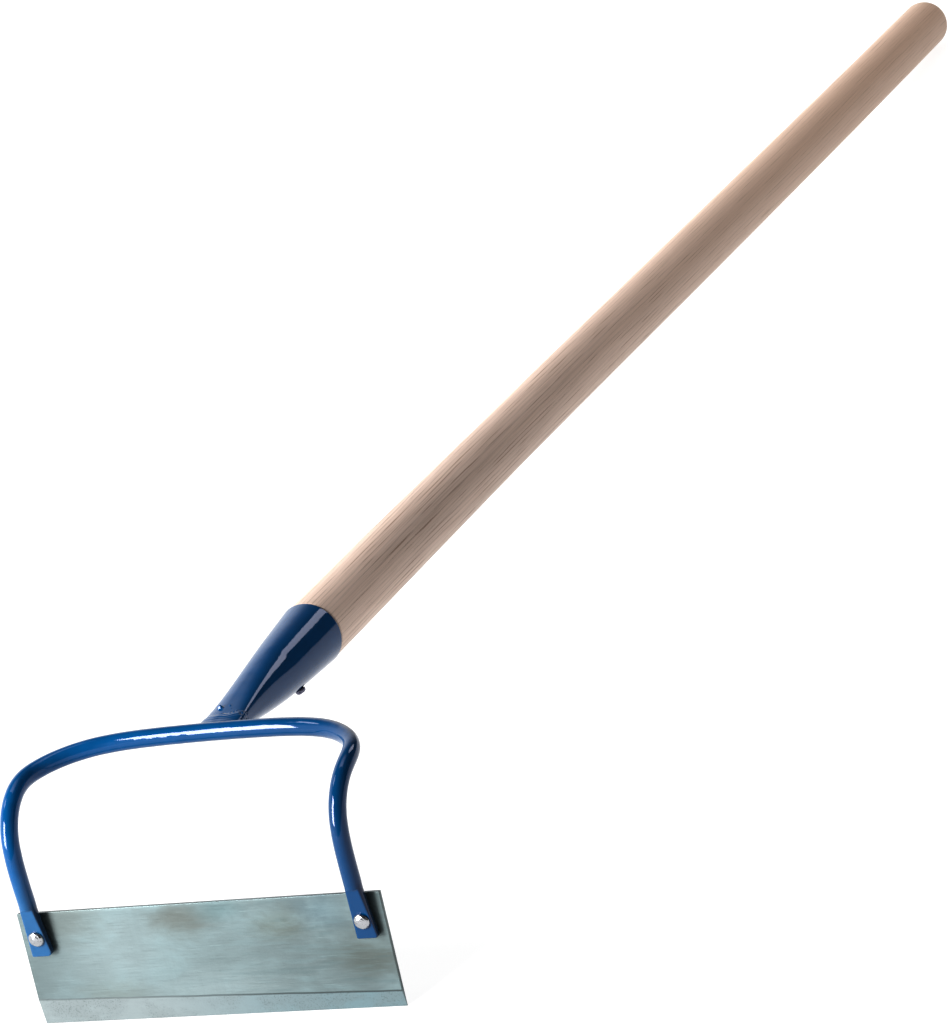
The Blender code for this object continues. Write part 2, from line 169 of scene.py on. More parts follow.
class FastenerSizes(bpy.types.PropertyGroup):
    rivet_radius: length("Rivet radius", 0.0036, "Radius of the rivets' heads")
    rivet_height: length("Rivet height", 0.0019, "Height of the rivets' heads")
    rivet_shank: length("Rivet shank", 0.0022, "Radius of the rivets' shanks")
    rivet_tail: length("Rivet tail", 0.0012, "Height of the rivets' tails behind the blade")
    screw_radius: length("Screw radius", 0.0025, "Radius of the screw's head")
    screw_height: length("Screw height", 0.0018, "Height of the screw's head")
    screw_depth: length("Screw depth", 0.0337, "Distance of the screw from the socket's mouth")
    screw_turn: rotation("Screw turn", 0.4537856, "Angle of the screw from straight down")
    zinc: colour("Zinc", (0.72, 0.73, 0.76), "Colour of the zinc plate")


class StudioSettings(bpy.types.PropertyGroup):
    lens: FloatProperty(name="Lens", description="Focal length", default=139.4256, unit="CAMERA")
    floor_size: length("Floor size", 12.0, "Side of the square floor")
    floor_colour: colour("Floor colour", (0.20, 0.20, 0.20), "Colour of the floor")
    front_light: watts("Front light", 265.0, "Power of the tall softbox in front")
    side_light: watts("Side light", 6.5, "Power of the small softbox at the side")
    back_light: watts("Back light", 11.5, "Power of the strip behind, which the socket mirrors")
    right_light: watts("Right light", 1.5, "Power of the large softbox on the right")
    top_light: watts("Top light", 5.0, "Power of the softbox over the handle")
    pale_wall: number("Pale wall", 1.35, "Brightness of the wall low on the left")
    room: number("Room", 0.09, "Brightness of the rest of the room")
    gamma: number("Gamma", 0.8, "Under 1 for a picture with more contrast")


# Shared shapes


def smoothstep(value, low, high):
    """0 below low, 1 above high, and the cubic 3t² − 2t³ between."""
    share = np.clip((value - low) / (high - low), 0.0, 1.0)
    return share * share * (3 - 2 * share)


def bump(distance, radius):
    """A soft hill of height 1: the bell curve exp(−d²/r²)."""
    return np.exp(-((distance / radius) ** 2))


def waves(along, around, seed, lengths):
    """Even unevenness between −1 and 1: a sum of sines with unrelated lengths along the piece, each with a
    whole number of periods round it, so it closes on itself."""
    chance = np.random.default_rng(seed)
    total = 0.0
    for wavelength in lengths:
        turns = chance.integers(1, 4)
        first, second = chance.uniform(0, 2 * math.pi, 2)
        total = total + np.sin(2 * math.pi * along / wavelength + first) * np.sin(turns * around + second)
    return total / len(lengths)


def spline(points, steps):
    """Natural cubic spline: cubics through the given points, whose slopes solve one linear system."""
    points = np.array(points, float)
    count = len(points)
    matrix = np.eye(count) * 4
    matrix[0, 0] = matrix[-1, -1] = 2
    inner = np.arange(count - 1)
    matrix[inner, inner + 1] = 1
    matrix[inner + 1, inner] = 1
    ahead = np.vstack([points[1:], points[-1:]])
    behind = np.vstack([points[:1], points[:-1]])
    slopes = np.linalg.solve(matrix, 3 * (ahead - behind))[:, None]
    knots = points[:, None]
    t = np.arange(steps)[:, None] / steps
    spans = (
        knots[:-1] * (1 + 2 * t) * (1 - t) ** 2
        + knots[1:] * t**2 * (3 - 2 * t)
        + slopes[:-1] * t * (1 - t) ** 2
        - slopes[1:] * t**2 * (1 - t)
    )
    return np.vstack([spans.reshape(-1, points.shape[1]), points[-1:]])


def evenly(points, step):
    """The same line resampled, so that its points lie about one step apart."""
    along = np.concatenate([[0.0], np.cumsum(np.linalg.norm(np.diff(points, axis=0), axis=1))])
    wanted = np.linspace(0.0, along[-1], round(along[-1] / step) + 1)
    return np.column_stack([np.interp(wanted, along, points[:, axis]) for axis in range(3)]), wanted


def closed_surface(name, grid, surface, attributes=()):
    """One closed mesh from a grid of points, rows × points round a row.

    Four neighbours in the grid make a face, each row closes on itself, and each end is closed by a ladder of
    faces between the points of its row and their mirrors. The volume's sign turns the faces outwards. The
    grid is given in the head frame, which the mesh keeps as the attribute "place"."""
    rows, count = grid.shape[:2]
    row = np.arange(rows - 1)[:, None] * count
    here = np.arange(count)[None, :]
    after = (here + 1) % count
    sides = np.stack([row + here, row + after, row + count + after, row + count + here], axis=-1)
    sides = sides.reshape(-1, 4)
    rung = np.arange(count // 2 - 1)
    ladder = np.stack([rung, rung + 1, count - 2 - rung, count - 1 - rung], axis=-1)
    faces = np.vstack([sides, ladder[:, ::-1], ladder + (rows - 1) * count])
    points = grid.reshape(-1, 3)
    corners = points[faces]
    first = np.cross(corners[:, 1] - corners[:, 0], corners[:, 2] - corners[:, 0])
    second = np.cross(corners[:, 2] - corners[:, 0], corners[:, 3] - corners[:, 0])
    if (corners[:, 0] * (first + second)).sum() < 0:
        faces = faces[:, ::-1]

    mesh = bpy.data.meshes.new(name)
    mesh.from_pydata(in_model_frame(points), [], faces)
    mesh.materials.append(surface)
    mesh.shade_smooth()
    keep(mesh, "place", points)
    for key, values in attributes:
        keep(mesh, key, values)
    made = bpy.data.objects.new(name, mesh)
    bpy.context.scene.collection.objects.link(made)
    return made


def keep(mesh, key, values):
    """Stores one number or one vector per point on the mesh."""
    if values.shape[-1] == 3:
        layer = mesh.attributes.new(key, "FLOAT_VECTOR", "POINT")
        layer.data.foreach_set("vector", np.ravel(values).astype(np.float32))
    else:
        layer = mesh.attributes.new(key, "FLOAT", "POINT")
        layer.data.foreach_set("value", np.ravel(values).astype(np.float32))


def stands_for(piece, node):
    """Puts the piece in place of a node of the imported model."""
    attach(piece, "root")
    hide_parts(node)


def rounded_outline(corners, radii, arc_points, side_points):
    """A closed outline with rounded corners, for every row at once.

    Round each corner runs the parabola C + (A − C)(1 − t)² + (B − C)t², where A and B lie one radius away
    from the corner C along its two sides, and straight rows of points join the parabolas."""
    before = np.roll(corners, 1, axis=1)
    after = np.roll(corners, -1, axis=1)
    to_before = (before - corners) / np.linalg.norm(before - corners, axis=-1, keepdims=True)
    to_after = (after - corners) / np.linalg.norm(after - corners, axis=-1, keepdims=True)
    parts = []
    for i, radius in enumerate(radii):
        corner = corners[:, i, None]
        t = np.linspace(0.0, 1.0, arc_points)[:, None]
        start = to_before[:, i, None] * radius
        end = to_after[:, i, None] * radius
        parts.append(corner + start * (1 - t) ** 2 + end * t**2)
        following = (i + 1) % len(radii)
        side_start = corner + end
        side_end = corners[:, following, None] + to_before[:, following, None] * radii[following]
        share = np.linspace(0.0, 1.0, side_points[i] + 2)[1:-1, None]
        parts.append(side_start + (side_end - side_start) * share)
    return np.concatenate(parts, axis=1)


# Materials

EVEN = (1.0, 1.0, 1.0)


class Finish:
    """A material under construction. Inputs may be numbers, colours or the sockets of other nodes."""

    # The Mix node's colour sockets, whose names its other sockets share
    MIX_FIRST = 6
    MIX_SECOND = 7
    MIX_RESULT = 2

    def __init__(self, name):
        self.material = bpy.data.materials.new(name)
        self.material.use_nodes = True
        self.tree = self.material.node_tree
        self.shader = self.tree.nodes["Principled BSDF"]

    def node(self, kind, inputs=(), output=0, **settings):
        made = self.tree.nodes.new(kind)
        for key, value in settings.items():
            setattr(made, key, value)
        for key, value in dict(inputs).items():
            self.feed(made.inputs[key], value)
        return made.outputs[output]

    def feed(self, socket, value):
        """Links or sets one input. A colour of three channels gets its fourth here."""
        if isinstance(value, bpy.types.NodeSocket):
            self.tree.links.new(value, socket)
        elif isinstance(value, tuple) and len(value) < len(socket.default_value):
            socket.default_value = (*value, 1.0)
        else:
            socket.default_value = value

    def attribute(self, name, output="Vector"):
        return self.node("ShaderNodeAttribute", output=output, attribute_name=name)

    def coordinate(self, vector, axis):
        return self.node("ShaderNodeSeparateXYZ", {"Vector": vector}, output=axis)

    def stretched(self, vector, scale):
        return self.node("ShaderNodeMapping", {"Vector": vector, "Scale": scale})

    def patterns(self, place, table):
        """The noises of a table by their names. A stretch under 1 draws a noise out along that axis."""
        made = {}
        for name, (stretch, scale, detail, roughness, distortion) in table.items():
            inputs = {"Scale": scale, "Detail": detail, "Roughness": roughness, "Distortion": distortion}
            inputs["Vector"] = self.stretched(place, stretch)
            made[name] = self.node("ShaderNodeTexNoise", inputs)
        return made

    def between(self, value, low, high, new_low=0.0, new_high=1.0):
        return self.node(
            "ShaderNodeMapRange",
            {"Value": value, "From Min": low, "From Max": high, "To Min": new_low, "To Max": new_high},
            interpolation_type="SMOOTHSTEP",
        )

    def math(self, operation, first, second):
        return self.node("ShaderNodeMath", {0: first, 1: second}, operation=operation)

    def vector_math(self, operation, first, second=(0.0, 0.0, 0.0), output="Value"):
        return self.node("ShaderNodeVectorMath", {0: first, 1: second}, output=output, operation=operation)

    def mix(self, share, first, second):
        inputs = {"Factor": share, self.MIX_FIRST: first, self.MIX_SECOND: second}
        return self.node("ShaderNodeMix", inputs, self.MIX_RESULT, data_type="RGBA")

    def layer(self, base, colour, *amounts):
        """The base covered by a colour, as much as all the amounts multiplied."""
        share = amounts[0]
        for amount in amounts[1:]:
            share = self.math("MULTIPLY", share, amount)
        return self.mix(share, base, colour)

    def relief(self, height, depth, normal=None):
        inputs = {"Height": height, "Strength": 1.0, "Distance": depth}
        if normal is not None:
            inputs["Normal"] = normal
        return self.node("ShaderNodeBump", inputs)

    def surface(self, **inputs):
        """Feeds the shader's inputs, whose names are given with underscores, and returns the material."""
        for key, value in inputs.items():
            self.feed(self.shader.inputs[key.replace("_", " ").title().replace("Ior", "IOR")], value)
        return self.material


def times(tint, share):
    """A colour with each channel multiplied by its own share."""
    return tuple(channel * part for channel, part in zip(tint, share))


def shade(tint, factor):
    return tuple(channel * factor for channel in tint)


# Patterns, here and for the other finishes: stretch, scale, detail, roughness, distortion
ENAMEL_PATTERNS = {
    "cloud": (EVEN, 90.0, 3.0, 0.5, 0.0),
    "peel": (EVEN, 700.0, 2.0, 0.5, 0.0),
    "runs": (EVEN, 200.0, 2.0, 0.5, 0.4),
}
# Painted light falloff across the blade: where it runs from and to, and the enamel's colour painted lit at
# the left end and shaded at the right end
ENAMEL_FALLOFF_ENDS = (-0.09, 0.09)
ENAMEL_PAINTED_LIGHT = 1.38
ENAMEL_PAINTED_SHADE = 0.74
# Painted sheen low on the left leg and tab, a painted reflection of soft light: where it starts and is full,
# up and across, and its share of the colour
SHEEN_PATCH_UP = (0.080, 0.052)
SHEEN_PATCH_ACROSS = (-0.050, -0.075)
SHEEN_PATCH_SHARE = (24.0, 1.85, 1.45)
# Painted shade on the tabs' right flanks, which face away from the light: where it starts and is full, by the
# normal's X and by height
SHADED_FLANK_TURN = (0.60, 0.90)
SHADED_FLANK_UP = (0.062, 0.054)
PAINTED_FLANK_SHADE = 0.15
SHADED_FLANK_STRENGTH = 0.8
ENAMEL_IOR = 1.46
ENAMEL_TINT = (0.72, 0.72, 1.0)
PEEL_DEPTH = 0.000012
RUNS_DEPTH = 0.00004


def enamel_finish():
    """Dipped gloss enamel: slow changes in depth of colour, orange peel, and fine drips along the sheet.

    Part of the photo's light is in its colour: it is paler towards the left and low on the left leg, dark on
    the right flanks of the tabs, and its mirror is tinted blue."""
    tint = tuple(bpy.context.scene.hoe_bow.enamel)
    finish = Finish("glossy_enamel")
    place = finish.attribute("place")
    pattern = finish.patterns(place, ENAMEL_PATTERNS)
    across = finish.coordinate(place, "X")
    up = finish.coordinate(place, "Z")
    facing = finish.coordinate(finish.node("ShaderNodeTexCoord", output="Normal"), "X")

    # Painted light falloff: the enamel lit up towards the left and shaded towards the right
    rightwards = finish.between(across, *ENAMEL_FALLOFF_ENDS)
    base = finish.mix(rightwards, shade(tint, ENAMEL_PAINTED_LIGHT), shade(tint, ENAMEL_PAINTED_SHADE))
    # Painted sheen: a painted reflection that makes the enamel paler low on the left leg and tab
    sheen_patch = (finish.between(up, *SHEEN_PATCH_UP), finish.between(across, *SHEEN_PATCH_ACROSS))
    base = finish.layer(base, times(tint, SHEEN_PATCH_SHARE), *sheen_patch)
    # Painted shade: the tabs' right flanks darkened as if in shadow
    shaded_flank = (finish.between(facing, *SHADED_FLANK_TURN), finish.between(up, *SHADED_FLANK_UP))
    base = finish.layer(base, shade(tint, PAINTED_FLANK_SHADE), *shaded_flank, SHADED_FLANK_STRENGTH)
    base = finish.layer(base, shade(tint, 0.7), finish.between(pattern["cloud"], 0.3, 0.7, 0.0, 0.3))
    rough = finish.between(pattern["runs"], 0.3, 0.75, 0.02, 0.06)
    normal = finish.relief(pattern["peel"], PEEL_DEPTH)
    normal = finish.relief(pattern["runs"], RUNS_DEPTH, normal)
    finish.surface(IOR=ENAMEL_IOR, specular_tint=ENAMEL_TINT)
    return finish.surface(base_color=base, roughness=rough, normal=normal)


STEEL_PATTERNS = {
    "cloud": ((0.6, 1.0, 1.0), 60.0, 4.0, 0.6, 0.3),
    "streak": ((0.10, 1.0, 1.0), 300.0, 3.0, 0.6, 0.0),
    "wiped": ((1.0, 1.0, 0.05), 330.0, 2.0, 0.6, 0.0),
    "scratch": ((0.03, 1.0, 1.0), 2000.0, 3.0, 0.7, 0.0),
    "fleck": (EVEN, 1250.0, 4.0, 0.7, 0.0),
    "grinding": ((1.0, 1.0, 0.06), 1500.0, 2.0, 0.7, 0.0),
}
# The steel's colour at the right end, darkened there as painted shade where less light falls, and next to the
# left one, where it is darker
PAINTED_SHADE_RIGHT = 0.70
LEFT_SHADE = 0.62
# Stains on the plate: place across and up, reach across and up, colour as a share of the steel's, strength
STAINS = (
    (-0.044, 0.032, 0.034, 0.030, (1.26, 1.20, 1.20), 0.45),
    (-0.065, 0.048, 0.026, 0.014, (0.74, 0.66, 0.60), 0.50),
    (-0.050, 0.013, 0.024, 0.009, (0.82, 0.72, 0.62), 0.40),
    (-0.009, 0.045, 0.020, 0.011, (0.66, 0.54, 0.46), 0.65),
    (0.011, 0.049, 0.016, 0.007, (0.66, 0.84, 0.86), 0.50),
    (0.037, 0.041, 0.018, 0.009, (0.72, 0.62, 0.48), 0.55),
    (0.060, 0.046, 0.016, 0.011, (0.66, 0.80, 0.92), 0.55),
    (0.080, 0.025, 0.022, 0.013, (0.62, 0.54, 0.45), 0.60),
    (0.004, 0.013, 0.040, 0.012, (1.32, 1.28, 1.28), 0.80),
)
# Layers over the stains: pattern, where it starts and is full, strength, colour as a share of the steel's,
# and for a layer that is stronger on the right what is added to the share of the way there
STEEL_LAYERS = (
    ("cloud", 0.45, 0.70, 0.22, (1.20, 1.32, 1.36), None),
    ("wiped", 0.50, 0.70, 0.06, (0.62, 0.62, 0.62), None),
    ("streak", 0.50, 0.66, 0.24, (0.42, 0.52, 0.54), 0.15),
    ("streak", 0.46, 0.34, 0.13, (0.95, 1.15, 1.20), 0.10),
    ("scratch", 0.60, 0.72, 0.25, (1.50, 1.50, 1.50), None),
    ("scratch", 0.42, 0.32, 0.20, (0.45, 0.45, 0.45), None),
)
# Colours of the ground bevel as shares of the steel's: at its left end, painted paler as a light falloff, and
# at its right end, more cyan, clouded, and in its pits
GROUND_LEFT = (1.72, 1.56, 1.56)
GROUND_RIGHT = (1.10, 1.24, 1.32)
GROUND_CLOUD = (1.05, 0.92, 0.90)
GROUND_PITS = (0.50, 0.55, 0.55)
EDGE_LINE_SHADE = 0.25
SCRATCH_DEPTH = 0.00002
GRINDING_DEPTH = 0.00003
CLOUD_DEPTH = 0.00012


def stained_steel(finish, base, tint, place, cloud, rightwards):
    """The base with the stains on it: ovals whose distance is blurred by the cloud."""
    blurred = finish.math("MULTIPLY", finish.math("SUBTRACT", cloud, 0.5), 1.1)
    for at_x, at_z, reach_x, reach_z, share, strength in STAINS:
        offset = finish.vector_math("SUBTRACT", place, (at_x, 0.0, at_z), "Vector")
        away = finish.vector_math("LENGTH", finish.stretched(offset, (1 / reach_x, 0.0, 1 / reach_z)))
        amount = finish.between(finish.math("ADD", away, blurred), 1.15, 0.1, 0.0, strength)
        # The stains too are darkened towards the right by the painted shade
        stain = finish.mix(rightwards, times(tint, share), times(shade(tint, PAINTED_SHADE_RIGHT), share))
        base = finish.mix(amount, base, stain)
    return base


def ground_steel(finish, tint, pattern, rightwards):
    """The bevel's colour: paler than the plate and painted paler still towards the left, a painted light
    falloff, clouded, with clustered pits.
    """
    base = finish.mix(rightwards, times(tint, GROUND_LEFT), times(tint, GROUND_RIGHT))
    cloud = pattern["cloud"]
    base = finish.layer(base, times(tint, GROUND_CLOUD), finish.between(cloud, 0.40, 0.62, 0.0, 0.35))
    pits = (finish.between(pattern["fleck"], 0.54, 0.62), finish.between(cloud, 0.40, 0.58))
    return finish.layer(base, times(tint, GROUND_PITS), *pits, 0.45)


def steel_finish():
    """Passivated plate: grey-green with soft stains, streaks and scratches along the blade, darker towards
    its ends, and a paler ground bevel with clustered pits under a dark line. The darkening of plate and
    stains towards the right end is painted shade, where less light falls, and the bevel is painted paler
    towards its left end, a painted light falloff."""
    tint = tuple(bpy.context.scene.hoe_blade.steel)
    finish = Finish("passivated_steel")
    place = finish.attribute("place")
    bevel = finish.attribute("bevel", "Fac")
    pattern = finish.patterns(place, STEEL_PATTERNS)
    cloud = pattern["cloud"]
    scratch = pattern["scratch"]
    across = finish.coordinate(place, "X")
    rightwards = finish.between(across, -0.045, 0.070)

    # Painted shade: the plate darkened towards the right end, where less light falls, and darker next to the
    # left end
    base = finish.mix(rightwards, tint, shade(tint, PAINTED_SHADE_RIGHT))
    base = finish.layer(base, shade(tint, LEFT_SHADE), finish.between(across, -0.040, -0.09, 0.0, 0.6))
    base = stained_steel(finish, base, tint, place, cloud, rightwards)
    for name, start, full, strength, share, added in STEEL_LAYERS:
        amounts = [finish.between(pattern[name], start, full, 0.0, strength)]
        if added is not None:
            amounts.append(finish.math("ADD", rightwards, added))
        base = finish.layer(base, times(tint, share), *amounts)

    base = finish.mix(bevel, base, ground_steel(finish, tint, pattern, rightwards))
    on_corner = finish.math("MULTIPLY", bevel, finish.math("SUBTRACT", 1.0, bevel))
    edge_line = (on_corner, finish.between(across, -0.06, 0.06, 1.6, 3.6))
    base = finish.layer(base, shade(tint, EDGE_LINE_SHADE), *edge_line)
    rough = finish.between(finish.math("ADD", cloud, scratch), 0.7, 1.35, 0.32, 0.46)
    normal = finish.relief(scratch, SCRATCH_DEPTH)
    normal = finish.relief(finish.math("MULTIPLY", pattern["grinding"], bevel), GRINDING_DEPTH, normal)
    normal = finish.relief(cloud, CLOUD_DEPTH, normal)
    return finish.surface(base_color=base, metallic=0.7, roughness=rough, normal=normal)


ZINC_PATTERNS = {"spots": (EVEN, 1500.0, 2.0, 0.5, 0.0), "dents": (EVEN, 700.0, 1.0, 0.5, 0.0)}
DENTS_DEPTH = 0.00022


def zinc_finish(name, tint):
    """Hammered zinc plate: bright, with small dark spots and soft dents."""
    finish = Finish(name)
    pattern = finish.patterns(finish.attribute("place"), ZINC_PATTERNS)
    base = finish.mix(finish.between(pattern["spots"], 0.58, 0.70), tint, shade(tint, 0.35))
    rough = finish.between(pattern["spots"], 0.4, 0.65, 0.12, 0.30)
    normal = finish.relief(pattern["dents"], DENTS_DEPTH)
    return finish.surface(base_color=base, metallic=1.0, roughness=rough, normal=normal)


ASH_PATTERNS = {
    "slow": ((1.0, 1.0, 0.04), 55.0, 2.0, 0.5, 0.0),
    "wander": ((1.0, 1.0, 0.12), 240.0, 2.0, 0.5, 0.0),
    "dashes": ((1.0, 1.0, 0.009), 2300.0, 2.0, 0.6, 0.0),
    "fibres": ((1.0, 1.0, 0.008), 3800.0, 2.0, 0.6, 0.0),
    "tone": ((1.0, 1.0, 0.1), 70.0, 2.0, 0.5, 0.0),
}
PITH = (-0.030, 0.055, 0.0)  # across and up from the handle's line
RING_WIDTH = 0.0018
SLOW_WANDER = 0.0085
QUICK_WANDER = 0.0006
# Colours as shares of the wood's: towards the far end, in the pores, and painted light just outside the
# socket's mouth
FAR_WOOD = (0.95, 0.86, 0.76)
PORES = (0.44, 0.37, 0.31)
PAINTED_LIGHT_AT_MOUTH = (1.5, 1.5, 1.5)
PORES_DEPTH = 0.00006
FIBRES_DEPTH = 0.00003


def ash_finish():
    """Sanded ash: growth rings about a distant pith cut by the handle, with dark pores in their early wood.

    The grain fades along the handle. The wood is painted paler by the mouth, a painted pool of light, browner
    far away and painted dark at the mouth's rim, a painted shadow of the gap there."""
    tint = tuple(bpy.context.scene.hoe_handle.wood)
    finish = Finish("sanded_ash")
    place = finish.attribute("along_wood")
    pattern = finish.patterns(place, ASH_PATTERNS)
    ring = finish.vector_math("DISTANCE", finish.stretched(place, (1.0, 1.0, 0.0)), PITH)
    ring = finish.math("ADD", ring, finish.math("MULTIPLY", pattern["slow"], SLOW_WANDER))
    ring = finish.math("ADD", ring, finish.math("MULTIPLY", pattern["wander"], QUICK_WANDER))
    band = finish.math("FRACT", finish.math("MULTIPLY", ring, 1 / RING_WIDTH), 0.0)
    early = finish.math("SUBTRACT", 1.0, finish.between(band, 0.05, 0.40))
    along = finish.coordinate(place, "Z")
    fading = finish.between(along, 0.10, 0.70, 1.0, 0.40)
    dashes = finish.between(pattern["dashes"], 0.50, 0.62)
    pores = finish.math("MULTIPLY", dashes, finish.math("ADD", early, 0.35))
    pores = finish.math("MULTIPLY", pores, fading)

    base = finish.mix(finish.between(pattern["tone"], 0.3, 0.7), shade(tint, 0.92), shade(tint, 1.06))
    base = finish.layer(base, times(tint, FAR_WOOD), finish.between(along, 0.10, 0.90))
    base = finish.layer(base, shade(tint, 0.62), early, fading, 0.50)
    base = finish.layer(base, shade(tint, 0.70), pattern["fibres"], 0.36)
    base = finish.layer(base, times(tint, PORES), pores, 0.85)
    # Painted light: the wood lit up near the socket's mouth
    base = finish.layer(base, times(tint, PAINTED_LIGHT_AT_MOUTH), finish.between(along, 0.12, 0.0, 0.0, 0.22))
    # Painted shadow: a dark line on the wood at the socket's mouth, the shade of the gap between them
    base = finish.layer(base, shade(tint, 0.12), finish.between(along, 0.0014, 0.0002, 0.0, 0.7))
    rough = finish.between(pattern["fibres"], 0.3, 0.7, 0.42, 0.60)
    normal = finish.relief(finish.math("SUBTRACT", 1.0, pores), PORES_DEPTH)
    normal = finish.relief(pattern["fibres"], FIBRES_DEPTH, normal)
    return finish.surface(base_color=base, roughness=rough, normal=normal)


FLOOR_PATTERNS = {"mottle": (EVEN, 3.0, 3.0, 0.5, 0.0)}
FLOOR_GLOW = 0.88


def floor_finish():
    """Pale matt floor with a barely visible mottle, most of whose brightness is its own."""
    tint = tuple(bpy.context.scene.hoe_studio.floor_colour)
    finish = Finish("pale_floor")
    pattern = finish.patterns(finish.node("ShaderNodeTexCoord", output="Object"), FLOOR_PATTERNS)
    base = finish.mix(pattern["mottle"], shade(tint, 0.99), shade(tint, 1.01))
    return finish.surface(base_color=base, roughness=0.9, emission_color=EVEN, emission_strength=FLOOR_GLOW)


def finish_named(name, make):
    """The material of this name, made on its first use."""
    return bpy.data.materials.get(name) or make()


# Blade

BLADE_ROWS = 300
BLADE_ROUNDING_ROWS = 6
BLADE_END_ROUNDING = 0.00017
BLADE_END_RIM = 0.0002  # the last row stands in by this much more than its rounding
BLADE_END_STEPS = (0.0001, 0.0004, 0.0012)  # rows next to the rounding, which keep its shading off the plate
BLADE_END_FREE = 0.002
# The section's corners: foot of the back, top of the back, top of the front, top of the bevel, cutting edge
BLADE_CORNER_RADII = (0.00012, 0.00025, 0.00015, 0.0006, 0.00012)
BLADE_ARC_POINTS = 7
BLADE_SIDE_POINTS = (25, 3, 25, 13, 1)
BEVEL_SIDE = 3  # the side after this corner is the bevel
# Waves in the bevel's height: radians per metre, share of the height, start
GRINDING = ((210.0, 1.0, 1.0), (83.0, 0.6, 0.0), (520.0, 0.35, 2.0))


def blade_grid(sizes):
    """The plate's section carried along its width.

    The section is a wedge-footed rectangle with rounded corners. Its bevel's height runs evenly from end to
    end, plus small waves. The last rows of each end shrink towards the section's middle line by
    r − √(r² − d²), which rounds the sheared ends."""
    turn = np.linspace(0.0, math.pi / 2, BLADE_ROUNDING_ROWS)
    rim = [BLADE_END_ROUNDING + BLADE_END_RIM]
    inset = np.concatenate([rim, BLADE_END_ROUNDING * (1 - np.sin(turn)), np.zeros(len(BLADE_END_STEPS))])
    rounded = BLADE_END_ROUNDING * (1 - np.cos(turn))
    from_end = np.concatenate([[0.0], rounded, BLADE_END_ROUNDING + np.array(BLADE_END_STEPS)])
    middle = np.linspace(sizes.left + BLADE_END_FREE, sizes.right - BLADE_END_FREE, BLADE_ROWS)
    x = np.concatenate([sizes.left + from_end, middle, sizes.right - from_end[::-1]])
    inset = np.concatenate([inset, np.zeros(len(middle)), inset[::-1]])

    share = (x - sizes.left) / (sizes.right - sizes.left)
    bevel = sizes.bevel_left + (sizes.bevel_right - sizes.bevel_left) * share
    for rate, height, start in GRINDING:
        bevel = bevel + sizes.grinding_waves * height * np.sin(x * rate + start)
    zero = np.zeros_like(x)
    front = zero - sizes.thickness
    corners = np.stack([
        np.column_stack([zero, zero]),
        np.column_stack([zero, zero + sizes.height]),
        np.column_stack([front, zero + sizes.height]),
        np.column_stack([front, bevel]),
        np.column_stack([zero - sizes.edge, zero]),
    ], axis=1)
    outline = rounded_outline(corners, BLADE_CORNER_RADII, BLADE_ARC_POINTS, BLADE_SIDE_POINTS)

    ahead = np.roll(outline, -1, axis=1) - np.roll(outline, 1, axis=1)
    inward = np.stack([-ahead[..., 1], ahead[..., 0]], axis=-1)
    inward /= np.linalg.norm(inward, axis=-1, keepdims=True)
    outline = outline + inward * inset[:, None, None]
    grid = np.concatenate([np.broadcast_to(x[:, None, None], (*outline.shape[:2], 1)), outline], axis=-1)
    return grid, np.broadcast_to(bevel_share(), grid.shape[:2])


def bevel_share():
    """1 along the bevel's side of the section, 0 along the others, and even ramps round its two corners."""
    ramp = np.linspace(0.0, 1.0, BLADE_ARC_POINTS)
    arcs = np.zeros((len(BLADE_SIDE_POINTS), BLADE_ARC_POINTS))
    arcs[BEVEL_SIDE] = ramp
    arcs[BEVEL_SIDE + 1] = 1 - ramp
    parts = []
    for side, count in enumerate(BLADE_SIDE_POINTS):
        parts += [arcs[side], np.full(count, float(side == BEVEL_SIDE))]
    return np.concatenate(parts)


class HOE_OT_blade(bpy.types.Operator):
    """Makes the blade: a sheared plate with a hand-ground bevel"""

    bl_idname = "hoe.blade"
    bl_label = "Blade"

    def execute(self, context):
        grid, bevel = blade_grid(context.scene.hoe_blade)
        surface = finish_named("passivated_steel", steel_finish)
        stands_for(closed_surface("plate", grid, surface, [("bevel", bevel)]), "blade")
        return {"FINISHED"}


# Bow

BAR_SIDES = 80
BAR_SEED = 3
BAR_WAVES = (0.0067, 0.0113, 0.0171, 0.031)
SPLINE_STEPS = 60
SHOULDER_Y = -0.00645
BOW_MIDDLE_Z = 0.113  # the bar's first axis points away from the middle of the bow at this height
# The left half of the bar's centre line, from the tab's shoulder to the middle. The right half mirrors it.
BOW_HALF = (
    (-0.0803, SHOULDER_Y, 0.0590),
    (-0.0807, -0.00625, 0.0886),
    (-0.0814, 0.00655, 0.1050),
    (-0.0780, 0.0243, 0.1100),
    (-0.0577, 0.0409, 0.1126),
    (-0.0247, 0.0462, 0.1133),
    (0.0, 0.0476, 0.1131),
)
LEDGE_REACH = 51.4  # degrees of the bar's round that the flat takes to each side of its front
# The tab's section at its end: degrees from the front's middle, share of the half width, share of the depth
TAB_SECTION = (0.0, LEDGE_REACH, 90.0, 103.0, 180.0)
TAB_WIDTHS = (0.0, 1.0, 1.0, 0.93, 0.0)
TAB_DEPTHS = (0.0, 0.0, 0.82, 1.0, 1.0)
TAB_WEAR = 0.0006  # rounding of the tab's lower end in depth
TAB_SMOOTHING = 3
# Rows round the lower corners, up the tab, over the ledge and up to the shoulder
TAB_ROWS = (16, 40, 9, 4)
# Lower end, side nearer the left and side nearer the right there, radius of the corner under each side
TABS = {
    "left": (0.0336, -0.0852, -0.0746, 0.0006, 0.0030),
    "right": (0.0333, 0.0756, 0.0857, 0.0006, 0.0015),
}


def turns(count):
    """So many angles evenly round a circle."""
    return np.arange(count) * 2 * math.pi / count


